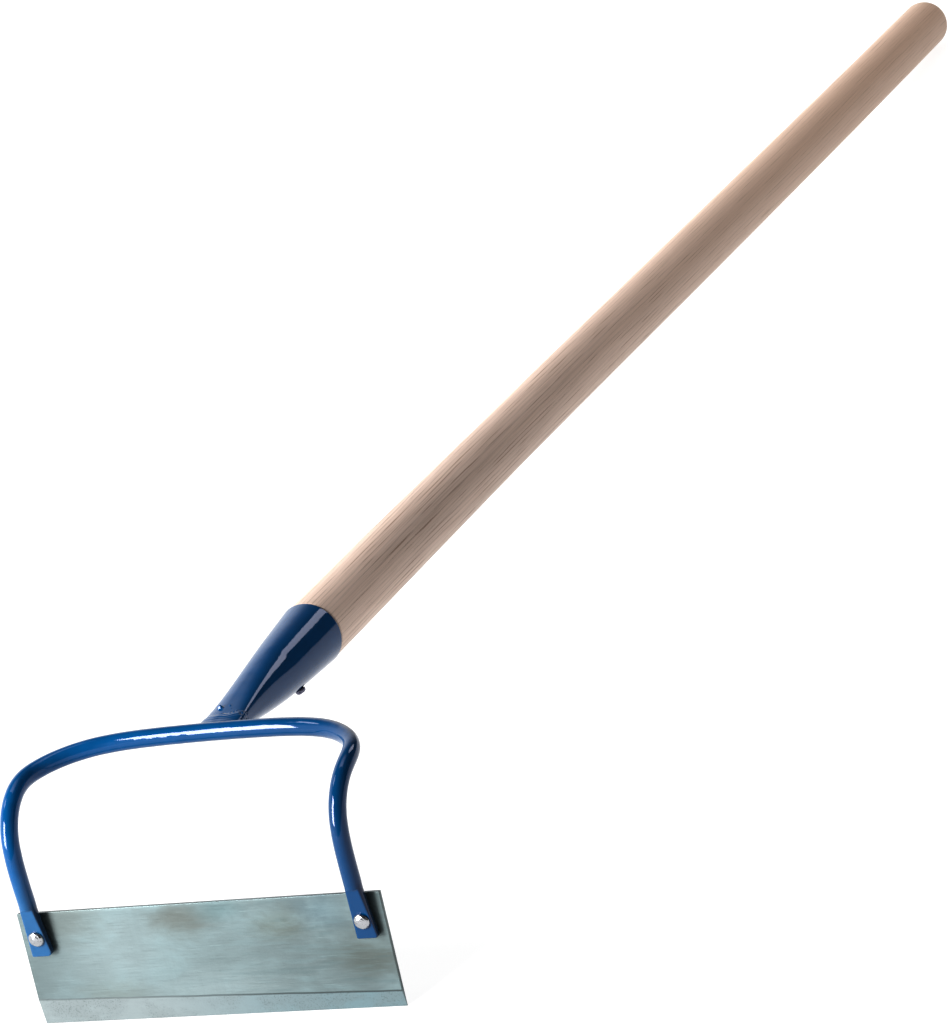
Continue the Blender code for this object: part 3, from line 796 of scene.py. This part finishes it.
def bow_rings(sizes):
    """The bar between its shoulders: an oval carried along a spline.

    The oval's first axis is the part of (P − C) at right angles to the path, where C lies in the middle of
    the bow, and its second is the path's direction crossed with the first."""
    left = np.array(BOW_HALF)
    right = left[-2::-1] * [-1, 1, 1]
    centres, along = evenly(spline(np.vstack([left, right]), SPLINE_STEPS), sizes.ring_step)
    direction = np.gradient(centres, axis=0)
    direction /= np.linalg.norm(direction, axis=1, keepdims=True)
    outward = centres - [0.0, SHOULDER_Y, BOW_MIDDLE_Z]
    outward -= direction * (outward * direction).sum(axis=1, keepdims=True)
    outward /= np.linalg.norm(outward, axis=1, keepdims=True)
    second = np.cross(direction, outward)
    angle = turns(BAR_SIDES)
    uneven = sizes.hammering * waves(along[:, None], angle, BAR_SEED, BAR_WAVES)
    across = (sizes.bar_in_bend + uneven) * np.cos(angle)
    over = (sizes.bar_across_bend + uneven) * np.sin(angle)
    return centres[:, None] + across[..., None] * outward[:, None] + over[..., None] * second[:, None]


def tab_front(end, sizes):
    """Y of the flat under the ledge, and how far it falls back per height."""
    start_y = SHOULDER_Y - sizes.bar_across_bend * math.cos(math.radians(LEDGE_REACH))
    end_y = -bpy.context.scene.hoe_blade.thickness - GAP - sizes.tab_thickness
    return start_y, (end_y - start_y) / (sizes.ledge_z - TABS[end][0])


def tab_rings(end, sizes):
    """One tab, from its free end up to the shoulder.

    Each ring is a blend of the bar's oval, cut flat in front, and of a rectangle as wide as the tab. The
    rectangle's share grows evenly from the ledge to the free end, where quarter circles round its corners.
    Each point is then averaged with its neighbours in the ring, which rounds the tab's long edges."""
    end_z, low_x, high_x, low_corner, high_corner = TABS[end]
    outward = -1 if end == "left" else 1
    start_y, fall = tab_front(end, sizes)
    largest = max(low_corner, high_corner)
    ledge_top = sizes.ledge_z + sizes.ledge_height
    corner_rows, tab_rows, ledge_rows, shoulder_rows = TAB_ROWS
    z = np.concatenate([
        end_z + largest * (1 - np.cos(np.linspace(0.0, math.pi / 2, corner_rows))),
        np.linspace(end_z + largest, sizes.ledge_z, tab_rows)[1:],
        np.linspace(sizes.ledge_z, ledge_top, ledge_rows)[1:],
        np.linspace(ledge_top, BOW_HALF[0][2], shoulder_rows)[1:-1],
    ])[:, None]
    angle = turns(BAR_SIDES)
    x = outward * sizes.bar_in_bend * np.cos(angle)
    y = -sizes.bar_across_bend * np.sin(angle)
    stepped = 1 - smoothstep(z, sizes.ledge_z, ledge_top)
    bar_x = x + BOW_HALF[0][0] * -outward
    bar_y = y + SHOULDER_Y + np.maximum(start_y - y - SHOULDER_Y, 0.0) * stepped

    from_front = np.degrees(np.abs(angle - math.pi / 2))
    from_front = np.minimum(from_front, 360 - from_front)
    wide = np.interp(from_front, TAB_SECTION, TAB_WIDTHS)
    deep = np.interp(from_front, TAB_SECTION, TAB_DEPTHS)
    middle = (low_x + high_x) / 2
    low_reach = middle - low_x - corner_inset(z - end_z, low_corner)
    high_reach = high_x - middle - corner_inset(z - end_z, high_corner)
    tab_x = middle + wide * np.where(x < 0, -low_reach, high_reach)
    worn = corner_inset(z - end_z, TAB_WEAR) / sizes.tab_thickness
    tab_y = start_y + fall * (sizes.ledge_z - end_z) + sizes.tab_thickness * (worn + (1 - 2 * worn) * deep)

    share = np.clip((sizes.ledge_z - z) / (sizes.ledge_z - end_z), 0.0, 1.0)
    ring_x = bar_x + (tab_x - bar_x) * share
    ring_y = bar_y + (tab_y - bar_y) * share
    grid = np.stack([ring_x, ring_y, np.broadcast_to(z, ring_x.shape)], axis=-1)
    for _ in range(TAB_SMOOTHING):
        grid = (np.roll(grid, 1, axis=1) + 2 * grid + np.roll(grid, -1, axis=1)) / 4
    return grid


def corner_inset(height, radius):
    """How far a rounded corner stands in from the side, h above the lower end: r − √(r² − (r − h)²)."""
    left = np.clip(radius - height, 0.0, radius)
    return radius - np.sqrt(radius**2 - left**2)


class HOE_OT_bow(bpy.types.Operator):
    """Makes the bow: one bar bent to a stirrup, with its ends hammered to tabs"""

    bl_idname = "hoe.bow"
    bl_label = "Bow"

    def execute(self, context):
        sizes = context.scene.hoe_bow
        grid = np.concatenate([tab_rings("left", sizes), bow_rings(sizes), tab_rings("right", sizes)[::-1]])
        surface = finish_named("glossy_enamel", enamel_finish)
        stands_for(closed_surface("stirrup_bow", grid, surface), "bow")
        return {"FINISHED"}


# Socket and weld

SQUARING = 1.5  # power at which the upper right of the neck becomes square
SOCKET_ROWS = 170
SOCKET_POINTS = 110
RIM_ROWS = 7
RIM_START = 0.15  # angle of the first row round the rims, which leaves no edge without width
LIP_POINTS = 7
SOCKET_UNEVENNESS = 0.00002
SOCKET_SEED = 5
SOCKET_WAVES = (0.0093, 0.0171, 0.0293)


def on_handle(distance, across, up):
    """A point by the handle's line: mouth + distance × direction + across × X + up × the line's normal."""
    sizes = bpy.context.scene.hoe_handle
    direction = np.array([0.0, math.cos(sizes.rise), math.sin(sizes.rise)])
    normal = np.array([0.0, -math.sin(sizes.rise), math.cos(sizes.rise)])
    distance, across, up = np.broadcast_arrays(distance, across, up)
    start = np.array([0.0, sizes.mouth_y, sizes.mouth_z])
    return (
        start
        + distance[..., None] * direction
        + across[..., None] * np.array([1.0, 0.0, 0.0])
        + up[..., None] * normal
    )


def socket_skin(depth, angle, outward=0.0):
    """Across and up of the socket's skin, this deep from the mouth and at this angle round it.

    A cone goes over into the neck's oval by powers of the share of the way down the neck, one for the height
    and one for each side's width, so the end is flattened like a spoon's. The oval's upper right quarter,
    which the hammer dressed square, moves out to a superellipse: by (|cos|ⁿ + |sin|ⁿ)^(−1/n)."""
    sizes = bpy.context.scene.hoe_socket
    radius = sizes.mouth_radius - sizes.taper * depth
    share = np.clip((depth - sizes.neck_start) / (sizes.length - sizes.neck_start), 0, 1)
    widened = share ** np.where(np.cos(angle) > 0, sizes.widening_right, sizes.widening_left)
    flattened = share ** sizes.flattening
    half_width = radius + (sizes.neck_half_width - radius) * widened
    half_height = radius + (sizes.neck_half_height - radius) * flattened
    rise = -sizes.sag * depth + (sizes.neck_rise + sizes.sag * depth) * flattened
    squared = np.clip((depth - sizes.square_start) / (sizes.length - sizes.square_start), 0, 1)
    power = 2 + sizes.squareness * squared ** SQUARING
    reach = (np.abs(np.cos(angle)) ** power + np.abs(np.sin(angle)) ** power) ** (-1 / power)
    reach = np.where((np.cos(angle) > 0) & (np.sin(angle) > 0), reach, 1.0)
    across = (half_width + outward) * reach * np.cos(angle)
    up = (half_height + outward) * reach * np.sin(angle) + rise
    return across, up


def socket_grid(sizes):
    """The rolled sheet: an open oval with two sides.

    The outline runs round the outside, over a half-round lip, back along the inside and over the other lip.
    The wall's share that a point stands in goes to the middle of the sheet at both ends by
    √(1 − (1 − d/r)²), which rounds the rims."""
    lip = sizes.wall / 2
    end = lip * (1 - np.cos(np.linspace(RIM_START, math.pi / 2, RIM_ROWS)))
    middle = np.linspace(lip, sizes.length - lip, SOCKET_ROWS)[1:-1]
    depth = np.concatenate([end, middle, (sizes.length - end)[::-1]])[:, None]
    turn = np.linspace(0.0, math.pi, LIP_POINTS + 2)[1:-1]
    round_share = np.linspace(0.0, 1.0, SOCKET_POINTS)
    zeros = round_share * 0
    share = np.concatenate([round_share, turn * 0 + 1, round_share[::-1], turn * 0])
    inward = np.concatenate([zeros, (1 - np.cos(turn)) / 2, zeros + 1, (1 + np.cos(turn)) / 2])
    past_lip = np.concatenate([zeros, np.sin(turn), zeros, -np.sin(turn)])

    from_end = np.minimum(depth, sizes.length - depth)
    thickness = np.sqrt(1 - (1 - np.minimum(from_end / lip, 1.0)) ** 2)
    inward = 0.5 + (inward - 0.5) * thickness
    opening = sizes.seam_at_mouth + (sizes.seam_at_neck - sizes.seam_at_mouth) * depth / sizes.length
    radius = sizes.mouth_radius - sizes.taper * depth
    lip_angle = np.arcsin((opening / 2 + lip) / radius)
    around = -math.pi / 2 + lip_angle + share * (2 * math.pi - 2 * lip_angle)
    around = around + past_lip * thickness * lip / radius
    uneven = SOCKET_UNEVENNESS * (waves(depth, around, SOCKET_SEED, SOCKET_WAVES) - 1) * thickness
    across, up = socket_skin(depth, around, uneven - inward * sizes.wall)
    return on_handle(-depth, across, up)


WELD_ENDS = (0.0868, 0.1056)  # depths from the mouth
WELD_ROWS = 150
WELD_POINTS = 260
WELD_TOE = 0.0946
# On the right the toe lies this much nearer the mouth, from the first cosine of the angle to the second
RIGHT_TOE = 0.0024
RIGHT_TOE_COSINES = (0.3, 0.95)
# The toe's own waves: height, how many round the neck, and how far and how often they are pushed aside
TOE_HEIGHT = 0.00025
TOE_COUNT = 9
TOE_SWING = 1.3
TOE_SWINGS = 4
# The swelling over the neck's skin, sideways and upwards, at some distances past the toe
WELD_STATIONS = (-0.0006, 0.0000, 0.0006, 0.0016, 0.0034, 0.0060, 0.0085, 0.0110)
WELD_SIDEWAYS = (-0.00015, 0.00002, 0.00012, 0.00015, 0.0001, -0.0001, -0.0004, -0.0009)
WELD_UPWARDS = (-0.00015, 0.00002, 0.00025, 0.00045, 0.0005, 0.0003, 0.0000, -0.0011)
# The welding's ripples: height, middle and reach past the toe, radians per metre, and how they are pushed
RIPPLE_HEIGHT = 0.00005
RIPPLE_MIDDLE = 0.0022
RIPPLE_REACH = 0.0028
RIPPLE_RATE = 3300
RIPPLE_SWING = 2.2
RIPPLE_SWINGS = 3
RIPPLE_SWING_START = 0.5
# Drops of spatter, and pits: depth from the mouth, angle round the socket, height and radius
WELD_MARKS = (
    (0.0898, 1.80, 0.00180, 0.0008),
    (0.0902, 1.90, 0.00140, 0.0006),
    (0.0886, 1.44, 0.00080, 0.0004),
    (0.0912, 1.30, 0.00050, 0.0003),
    (0.0946, 1.23, 0.00060, 0.0004),
    (0.0943, 1.10, 0.00060, 0.0004),
    (0.0932, 1.02, 0.00060, 0.0004),
    (0.0950, 0.80, -0.00045, 0.0007),
    (0.0932, 0.30, -0.00060, 0.0008),
    (0.0922, 0.42, 0.00045, 0.0005),
    (0.0945, 0.10, 0.00060, 0.0006),
    (0.0918, -0.10, 0.00050, 0.0005),
    (0.0925, -0.45, 0.00060, 0.0006),
    (0.0900, -0.60, 0.00040, 0.0005),
)


def weld_grid(sizes):
    """The weld: a collar from the socket's skin into the bar.

    It follows the neck's skin plus a swelling that is interpolated from its toe on, which runs back towards
    the mouth on the right by a smoothstep. Sines past the toe are the ripples of the welding, and bell curves
    of the distance from a few points add drops of spatter and pits. Before the toe only the drops come out of
    the skin."""
    depth = np.linspace(*WELD_ENDS, WELD_ROWS)[:, None]
    around = turns(WELD_POINTS)[None, :]
    past_toe = depth - WELD_TOE + RIGHT_TOE * smoothstep(np.cos(around), *RIGHT_TOE_COSINES)
    past_toe = past_toe + TOE_HEIGHT * np.sin(around * TOE_COUNT + TOE_SWING * np.sin(around * TOE_SWINGS))
    sideways = np.interp(past_toe, WELD_STATIONS, WELD_SIDEWAYS)
    upwards = np.interp(past_toe, WELD_STATIONS, WELD_UPWARDS)
    swing = RIPPLE_SWING * np.sin(around * RIPPLE_SWINGS + RIPPLE_SWING_START)
    ripple = RIPPLE_HEIGHT * bump(past_toe - RIPPLE_MIDDLE, RIPPLE_REACH)
    ripple = ripple * np.sin(past_toe * RIPPLE_RATE + swing)
    skin_depth = np.minimum(depth, sizes.length)
    skin = on_handle(-depth, *socket_skin(skin_depth, around))
    drops = 0.0
    for at_depth, at_angle, height, radius in WELD_MARKS:
        centre = on_handle(-at_depth, *socket_skin(at_depth, at_angle))
        drops = drops + height * bump(np.linalg.norm(skin - centre, axis=-1), radius)
    swollen = sideways * np.cos(around) ** 2 + upwards * np.sin(around) ** 2
    across, up = socket_skin(skin_depth, around, swollen + ripple + drops)
    return on_handle(-depth, across, up)


class HOE_OT_socket(bpy.types.Operator):
    """Makes the socket: a cone of rolled sheet with an open seam underneath"""

    bl_idname = "hoe.socket"
    bl_label = "Socket"

    def execute(self, context):
        surface = finish_named("glossy_enamel", enamel_finish)
        made = closed_surface("rolled_socket", socket_grid(context.scene.hoe_socket), surface)
        stands_for(made, "socket")
        return {"FINISHED"}


class HOE_OT_weld(bpy.types.Operator):
    """Makes the weld bead between the socket and the bow"""

    bl_idname = "hoe.weld"
    bl_label = "Weld"

    def execute(self, context):
        surface = finish_named("glossy_enamel", enamel_finish)
        made = closed_surface("weld", weld_grid(context.scene.hoe_socket), surface)
        stands_for(made, "weld_bead")
        return {"FINISHED"}


# Handle

HANDLE_RADII = ((0.0, 0.01530), (0.24, 0.01480), (0.52, 0.01540), (0.80, 0.01560), (1.06, 0.01565))
HANDLE_BOW = ((0.0, 0.0), (0.28, 0.0008), (0.57, 0.0), (0.86, -0.0005), (1.06, 0.0))
BOW_STEPS = 12
SHOULDER_LENGTH = 0.0016  # the driven wood bulges over the mouth within this length
TENON_CHAMFER = 0.0015
# Rows over the chamfer and the end's rounding, and rows between two places inside the socket and at its mouth
CHAMFER_ROWS = 3
ROUNDING_ROWS = 18
INSIDE_ROWS = (-0.058, -0.002, 8)
MOUTH_ROWS = (-0.0005, SHOULDER_LENGTH + 0.0004, 16)
# The long stretch starts here, ends this far before the rounding and has so many rows
LONG_START = 0.0035
LONG_END = 0.001
LONG_ROWS = 260
HANDLE_POINTS = 128
HANDLE_UNEVENNESS = 0.00004
HANDLE_SEED = 9
HANDLE_WAVES = (0.031, 0.067, 0.113)


def handle_grid(sizes):
    """The turned handle: circles along its line.

    The radius is interpolated along the handle, swells out of the mouth by a smoothstep and ends in a quarter
    circle. The line's own slight bow is a spline. Inside the socket the radius follows the cone."""
    turn = np.linspace(0.0, math.pi / 2, ROUNDING_ROWS)
    distance = np.concatenate([
        np.linspace(-sizes.tenon, TENON_CHAMFER - sizes.tenon, CHAMFER_ROWS),
        np.linspace(*INSIDE_ROWS),
        np.linspace(*MOUTH_ROWS),
        np.linspace(LONG_START, sizes.length_out - sizes.end_rounding - LONG_END, LONG_ROWS),
        sizes.length_out - sizes.end_rounding * (1 - np.sin(turn)),
    ])[:, None]
    mouth = bpy.context.scene.hoe_socket
    inside = mouth.mouth_radius - mouth.wall - GAP
    depth = np.maximum(-distance, 0.0)
    cone = inside - mouth.taper * depth - np.clip(TENON_CHAMFER - (sizes.tenon - depth), 0.0, None)
    outside = np.interp(distance, *zip(*HANDLE_RADII))
    radius = cone + (outside - cone) * smoothstep(distance, 0.0, SHOULDER_LENGTH)
    past = np.clip(distance - sizes.length_out + sizes.end_rounding, 0.0, sizes.end_rounding)
    radius = radius - (sizes.end_rounding - np.sqrt(sizes.end_rounding**2 - past**2))
    line = spline(HANDLE_BOW, BOW_STEPS)
    rise = np.interp(distance, line[:, 0], line[:, 1]) * (distance > 0) - mouth.sag * depth

    around = turns(HANDLE_POINTS)[None, :]
    radius = radius + HANDLE_UNEVENNESS * (waves(distance, around, HANDLE_SEED, HANDLE_WAVES) - 1)
    across = radius * np.cos(around)
    up = radius * np.sin(around)
    along_wood = np.stack([across, up, np.broadcast_to(distance, across.shape)], axis=-1)
    return on_handle(distance, across, up + rise), along_wood


class HOE_OT_handle(bpy.types.Operator):
    """Makes the handle: turned ash, driven into the socket"""

    bl_idname = "hoe.handle"
    bl_label = "Handle"

    def execute(self, context):
        grid, along_wood = handle_grid(context.scene.hoe_handle)
        surface = finish_named("sanded_ash", ash_finish)
        made = closed_surface("ash_handle", grid, surface, [("along_wood", along_wood)])
        stands_for(made, "handle")
        return {"FINISHED"}


# Rivets and screw

RIVETS = {"left": (-0.0797, 0.0426), "right": (0.0807, 0.0418)}
RIVET_POINTS = 96
HEAD_ROWS = 40
TAIL_ROWS = 16
SHANK_ENDS = (0.0002, -0.002)  # behind the blade's back and at its front
SEAT_SINK = 0.0002  # the shank goes on into the head's underside by this much
UNDERSIDE_SHARE = 0.96  # of the head's radius
NEARLY = 0.999  # just under 1, so that a dome's rim stays a little over its seat
INNERMOST = 0.02  # angle of the innermost row of a dome
DOME_POWER = 0.42
TAIL_POWER = 0.5
TAIL_INNERMOST = 0.03
# The ring round the head: height, place and width as shares of the radius
HEAD_RING = 0.00012
HEAD_RING_AT = 0.62
HEAD_RING_WIDTH = 0.07
# Hammer marks on the heads: place across and up as shares of the radius, share of the width
MARK_DEPTH = 0.00016
MARK_WIDTH = 0.0014
RIVET_MARKS = {
    "left": ((0.3, 0.4, 0.9), (-0.5, 0.2, 0.7), (0.1, -0.5, 0.8)),
    "right": ((0.4, 0.1, 0.8), (-0.3, -0.4, 0.9)),
}


def rivet_grid(end, sizes):
    """A rivet: circles about its axis.

    The head's profile is the dome h(1 − s²)^0.42 over the share s of the radius, on a seat that leans with
    the tab, with one shallow ring and a few bell-shaped hammer marks."""
    x, z = RIVETS[end]
    start_y, fall = tab_front(end, bpy.context.scene.hoe_bow)
    seat = start_y + fall * (bpy.context.scene.hoe_bow.ledge_z - z) - GAP
    around = turns(RIVET_POINTS)[None, :]

    share = np.sin(np.linspace(INNERMOST, math.pi / 2, HEAD_ROWS))[::-1, None]
    height = sizes.rivet_height * (1 - share**2 * NEARLY) ** DOME_POWER
    height = height - HEAD_RING * bump(share - HEAD_RING_AT, HEAD_RING_WIDTH)
    head = circles(0.0, sizes.rivet_radius * share, around)
    for mark_x, mark_z, width in RIVET_MARKS[end]:
        away = head[..., ::2] - np.array([mark_x, mark_z]) * sizes.rivet_radius
        mark = bump(np.linalg.norm(away, axis=-1), width * MARK_WIDTH)
        height = height - MARK_DEPTH * mark * (1 - share**4)
    head[..., 1] = seat - height - fall * head[..., 2]

    tail_share = np.sin(np.linspace(TAIL_INNERMOST, math.pi / 2, TAIL_ROWS))[:, None]
    tail_height = sizes.rivet_tail * (1 - tail_share**2 * NEARLY) ** TAIL_POWER
    tail = circles(GAP + tail_height, sizes.rivet_radius * tail_share, around)
    shank = circles(np.array([*SHANK_ENDS, seat + SEAT_SINK])[:, None], sizes.rivet_shank, around)
    under = circles(np.array([[seat]]), sizes.rivet_radius * UNDERSIDE_SHARE, around)
    under[..., 1] -= fall * under[..., 2]
    return np.concatenate([tail, shank, under, head]) + [x, 0.0, z]


def circles(y, radius, around):
    """Circles about the Y axis at the given places and radii."""
    x, y, z = np.broadcast_arrays(radius * np.cos(around), y, radius * np.sin(around))
    return np.stack([x, y, z], axis=-1)


SCREW_POINTS = 120
SCREW_ROWS = 44
SCREW_POWER = 0.5
# The shank's profile from its point to the head's underside: place on the axis, radius
SHANK_PROFILE = ((-0.0180, 0.0004), (-0.0140, 0.0021), (0.0002, 0.0021), (0.0003, 0.0033))
SLOT_ANGLE = 0.5
SLOT_HALF_WIDTHS = (0.00035, 0.0005)  # at the bottom and at the top
SLOT_DEPTH = 0.0009
SLOT_FLOOR = 0.0012  # nothing lower than this is cut


def screw_grid(sizes):
    """The screw: circles about its axis, with a point, a plain shank and a pan head over a thin flange.

    The slot lowers the head's top wherever a point is nearer to the head's diameter than the slot's half
    width, through a smoothstep."""
    sideways = math.sin(sizes.screw_turn)
    down = math.cos(sizes.screw_turn)
    seat = on_handle(-sizes.screw_depth, *socket_skin(sizes.screw_depth, sizes.screw_turn - math.pi / 2))
    taper = bpy.context.scene.hoe_socket.taper
    outward = on_handle(-taper, sideways, -down) - on_handle(0.0, 0.0, 0.0)
    outward /= np.linalg.norm(outward)
    first = on_handle(1.0, 0.0, 0.0) - on_handle(0.0, 0.0, 0.0)
    first -= outward * (first @ outward)
    first /= np.linalg.norm(first)
    second = np.cross(outward, first)

    around = turns(SCREW_POINTS)[None, :]
    share = np.sin(np.linspace(INNERMOST, math.pi / 2, SCREW_ROWS))[::-1, None]
    height = GAP + sizes.screw_height * (1 - share**4 * NEARLY) ** SCREW_POWER
    head = circles(height, sizes.screw_radius * share, around)
    from_slot = np.abs(head[..., 0] * math.cos(SLOT_ANGLE) + head[..., 2] * math.sin(SLOT_ANGLE))
    head[..., 1] -= SLOT_DEPTH * (1 - smoothstep(from_slot, *SLOT_HALF_WIDTHS)) * (height > SLOT_FLOOR)
    profile = np.array(SHANK_PROFILE)
    shank = circles(profile[:, :1], profile[:, 1:], around)
    return seat + np.concatenate([shank, head]) @ np.array([first, outward, second])


RIVET_SHADE = 0.62
SCREW_SHARE = (0.18, 0.18, 0.24)


class HOE_OT_fasteners(bpy.types.Operator):
    """Makes the two rivets and the screw"""

    bl_idname = "hoe.fasteners"
    bl_label = "Rivets and screw"

    def execute(self, context):
        sizes = context.scene.hoe_fasteners
        zinc = tuple(sizes.zinc)
        surface = zinc_finish("rivet_zinc", shade(zinc, RIVET_SHADE))
        for end in RIVETS:
            made = closed_surface(f"hammered_rivet_{end}", rivet_grid(end, sizes), surface)
            stands_for(made, f"rivet_{end}")
        surface = zinc_finish("screw_zinc", times(zinc, SCREW_SHARE))
        stands_for(closed_surface("slotted_screw", screw_grid(sizes), surface), "handle_screw")
        return {"FINISHED"}


# Stage

PICTURE_HEIGHT = 1024  # the camera is shifted by half of one of these pixels
SENSOR_WIDTH = 36.0
CLIP_START = 0.05
# The camera in the head frame: its place, and its right, down and forward directions
CAMERA_PLACE = (0.85488, -1.39173, 0.58013)
CAMERA_RIGHT = (0.89800, 0.38480, -0.21336)
CAMERA_DOWN = (-0.09725, -0.29934, -0.94918)
CAMERA_FORWARD = (-0.42911, 0.87311, -0.23139)

# Softboxes that look at the weld: direction, distance, width and height, the setting of their power
SOFTBOXES = {
    "front_softbox": ((-0.520, -0.748, 0.430), 3.0, (1.25, 1.95), "front_light"),
    "side_softbox": ((-0.68, -0.05, 0.73), 2.4, (0.5, 0.5), "side_light"),
    "back_strip": ((0.31, 0.76, 0.56), 3.0, (0.66, 1.3), "back_light"),
    "right_softbox": ((0.95, -0.10, 0.30), 3.0, (2.0, 1.5), "right_light"),
}
# The softbox over the handle, which lights only what lies under it
TOP_AIM = (0.0, 0.7, 0.0)
TOP_DISTANCE = 2.4
TOP_SIZE = (1.6, 1.8)
TOP_SPREAD = 1.2
# Where the wall begins and is full, by each coordinate of the direction
WALL = (("X", 0.20, -0.45), ("Z", 0.70, 0.36))


def add_floor(settings):
    half = settings.floor_size / 2
    mesh = bpy.data.meshes.new("floor")
    corners = np.array([(-half, -half, 0.0), (half, -half, 0.0), (half, half, 0.0), (-half, half, 0.0)])
    mesh.from_pydata(corners, [], [(0, 1, 2, 3)])
    mesh.materials.append(floor_finish())
    floor = bpy.data.objects.new("floor", mesh)
    bpy.context.scene.collection.objects.link(floor)


def add_light(name, aim, direction, distance, size, power, spread=math.pi):
    """A rectangular area light that looks at a point from a direction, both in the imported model's frame."""
    light = bpy.data.lights.new(name, "AREA")
    light.shape = "RECTANGLE"
    light.size, light.size_y = size
    light.energy = power
    light.spread = spread
    made = bpy.data.objects.new(name, light)
    away = Vector(direction).normalized()
    made.location = aim + away * distance
    made.rotation_euler = away.to_track_quat("Z", "Y").to_euler()
    bpy.context.scene.collection.objects.link(made)


def add_surroundings(settings):
    """A room with a pale wall low on the left: smoothsteps of the direction's X and Z, multiplied."""
    world = bpy.data.worlds.new("surroundings")
    world.use_nodes = True
    tree = world.node_tree
    direction = tree.nodes.new("ShaderNodeTexCoord")
    parts = tree.nodes.new("ShaderNodeSeparateXYZ")
    tree.links.new(direction.outputs["Generated"], parts.inputs["Vector"])
    wall = tree.nodes.new("ShaderNodeMath")
    wall.operation = "MULTIPLY"
    for slot, (axis, dark_at, bright_at) in enumerate(WALL):
        ramp = tree.nodes.new("ShaderNodeMapRange")
        ramp.interpolation_type = "SMOOTHSTEP"
        ramp.inputs["From Min"].default_value = dark_at
        ramp.inputs["From Max"].default_value = bright_at
        tree.links.new(parts.outputs[axis], ramp.inputs["Value"])
        tree.links.new(ramp.outputs["Result"], wall.inputs[slot])
    strength = tree.nodes.new("ShaderNodeMath")
    strength.operation = "MULTIPLY_ADD"
    strength.inputs[1].default_value = settings.pale_wall
    strength.inputs[2].default_value = settings.room
    background = tree.nodes["Background"]
    background.inputs["Color"].default_value = (1.0, 1.0, 1.0, 1.0)
    tree.links.new(wall.outputs["Value"], strength.inputs[0])
    tree.links.new(strength.outputs["Value"], background.inputs["Strength"])
    bpy.context.scene.world = world


def add_camera(settings):
    camera = bpy.data.cameras.new("camera")
    camera.lens = settings.lens
    camera.sensor_width = SENSOR_WIDTH
    camera.clip_start = CLIP_START
    camera.shift_x = -0.5 / PICTURE_HEIGHT
    camera.shift_y = 0.5 / PICTURE_HEIGHT
    made = bpy.data.objects.new("camera", camera)
    axes = np.array([CAMERA_RIGHT, CAMERA_DOWN, CAMERA_FORWARD]) * [[1], [-1], [-1]] @ HEAD_AXES
    place = in_model_frame(np.array(CAMERA_PLACE))
    made.matrix_world = Matrix.Translation(Vector(place)) @ Matrix(axes.T.tolist()).to_4x4()
    bpy.context.scene.collection.objects.link(made)
    bpy.context.scene.camera = made


class HOE_OT_studio(bpy.types.Operator):
    """Makes the floor, the lights, the surroundings and the camera"""

    bl_idname = "hoe.studio"
    bl_label = "Studio"

    def execute(self, context):
        settings = context.scene.hoe_studio
        add_floor(settings)
        low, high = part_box("weld_bead")
        for name, (direction, distance, size, power) in SOFTBOXES.items():
            add_light(name, (low + high) / 2, direction, distance, size, getattr(settings, power))
        straight_up = (0.0, 0.0, 1.0)
        top_aim = Vector(TOP_AIM)
        add_light("top_softbox", top_aim, straight_up, TOP_DISTANCE, TOP_SIZE, settings.top_light, TOP_SPREAD)
        add_surroundings(settings)
        context.scene.view_settings.view_transform = "Standard"
        context.scene.view_settings.gamma = settings.gamma
        add_camera(settings)
        return {"FINISHED"}


class VIEW3D_PT_hoe(bpy.types.Panel):
    """Lists the hoe's pieces and their sizes in the sidebar"""

    bl_idname = "VIEW3D_PT_hoe"
    bl_label = "Garden hoe"
    bl_space_type = "VIEW_3D"
    bl_region_type = "UI"
    bl_category = "Garden hoe"

    def draw(self, context):
        for operator, groups in PARTS:
            box = self.layout.box()
            box.operator(operator.bl_idname)
            for group in groups:
                settings = getattr(context.scene, group)
                for key in settings.__annotations__:
                    box.prop(settings, key)


GROUPS = {
    "hoe_blade": BladeSizes,
    "hoe_bow": BowSizes,
    "hoe_socket": SocketSizes,
    "hoe_handle": HandleSizes,
    "hoe_fasteners": FastenerSizes,
    "hoe_studio": StudioSettings,
}
PARTS = (
    (HOE_OT_blade, ["hoe_blade"]),
    (HOE_OT_bow, ["hoe_bow"]),
    (HOE_OT_socket, ["hoe_socket"]),
    (HOE_OT_weld, []),
    (HOE_OT_handle, ["hoe_handle"]),
    (HOE_OT_fasteners, ["hoe_fasteners"]),
    (HOE_OT_studio, ["hoe_studio"]),
)
CLASSES = (*GROUPS.values(), *(operator for operator, _ in PARTS), VIEW3D_PT_hoe)


def register():
    for item in CLASSES:
        bpy.utils.register_class(item)
    for name, group in GROUPS.items():
        setattr(bpy.types.Scene, name, PointerProperty(type=group))


def unregister():
    for name in GROUPS:
        delattr(bpy.types.Scene, name)
    for item in reversed(CLASSES):
        bpy.utils.unregister_class(item)


def main():
    register()
    bpy.ops.hoe.blade()
    bpy.ops.hoe.bow()
    bpy.ops.hoe.socket()
    bpy.ops.hoe.weld()
    bpy.ops.hoe.handle()
    bpy.ops.hoe.fasteners()
    bpy.ops.hoe.studio()


if __name__ == "__main__":
    main()
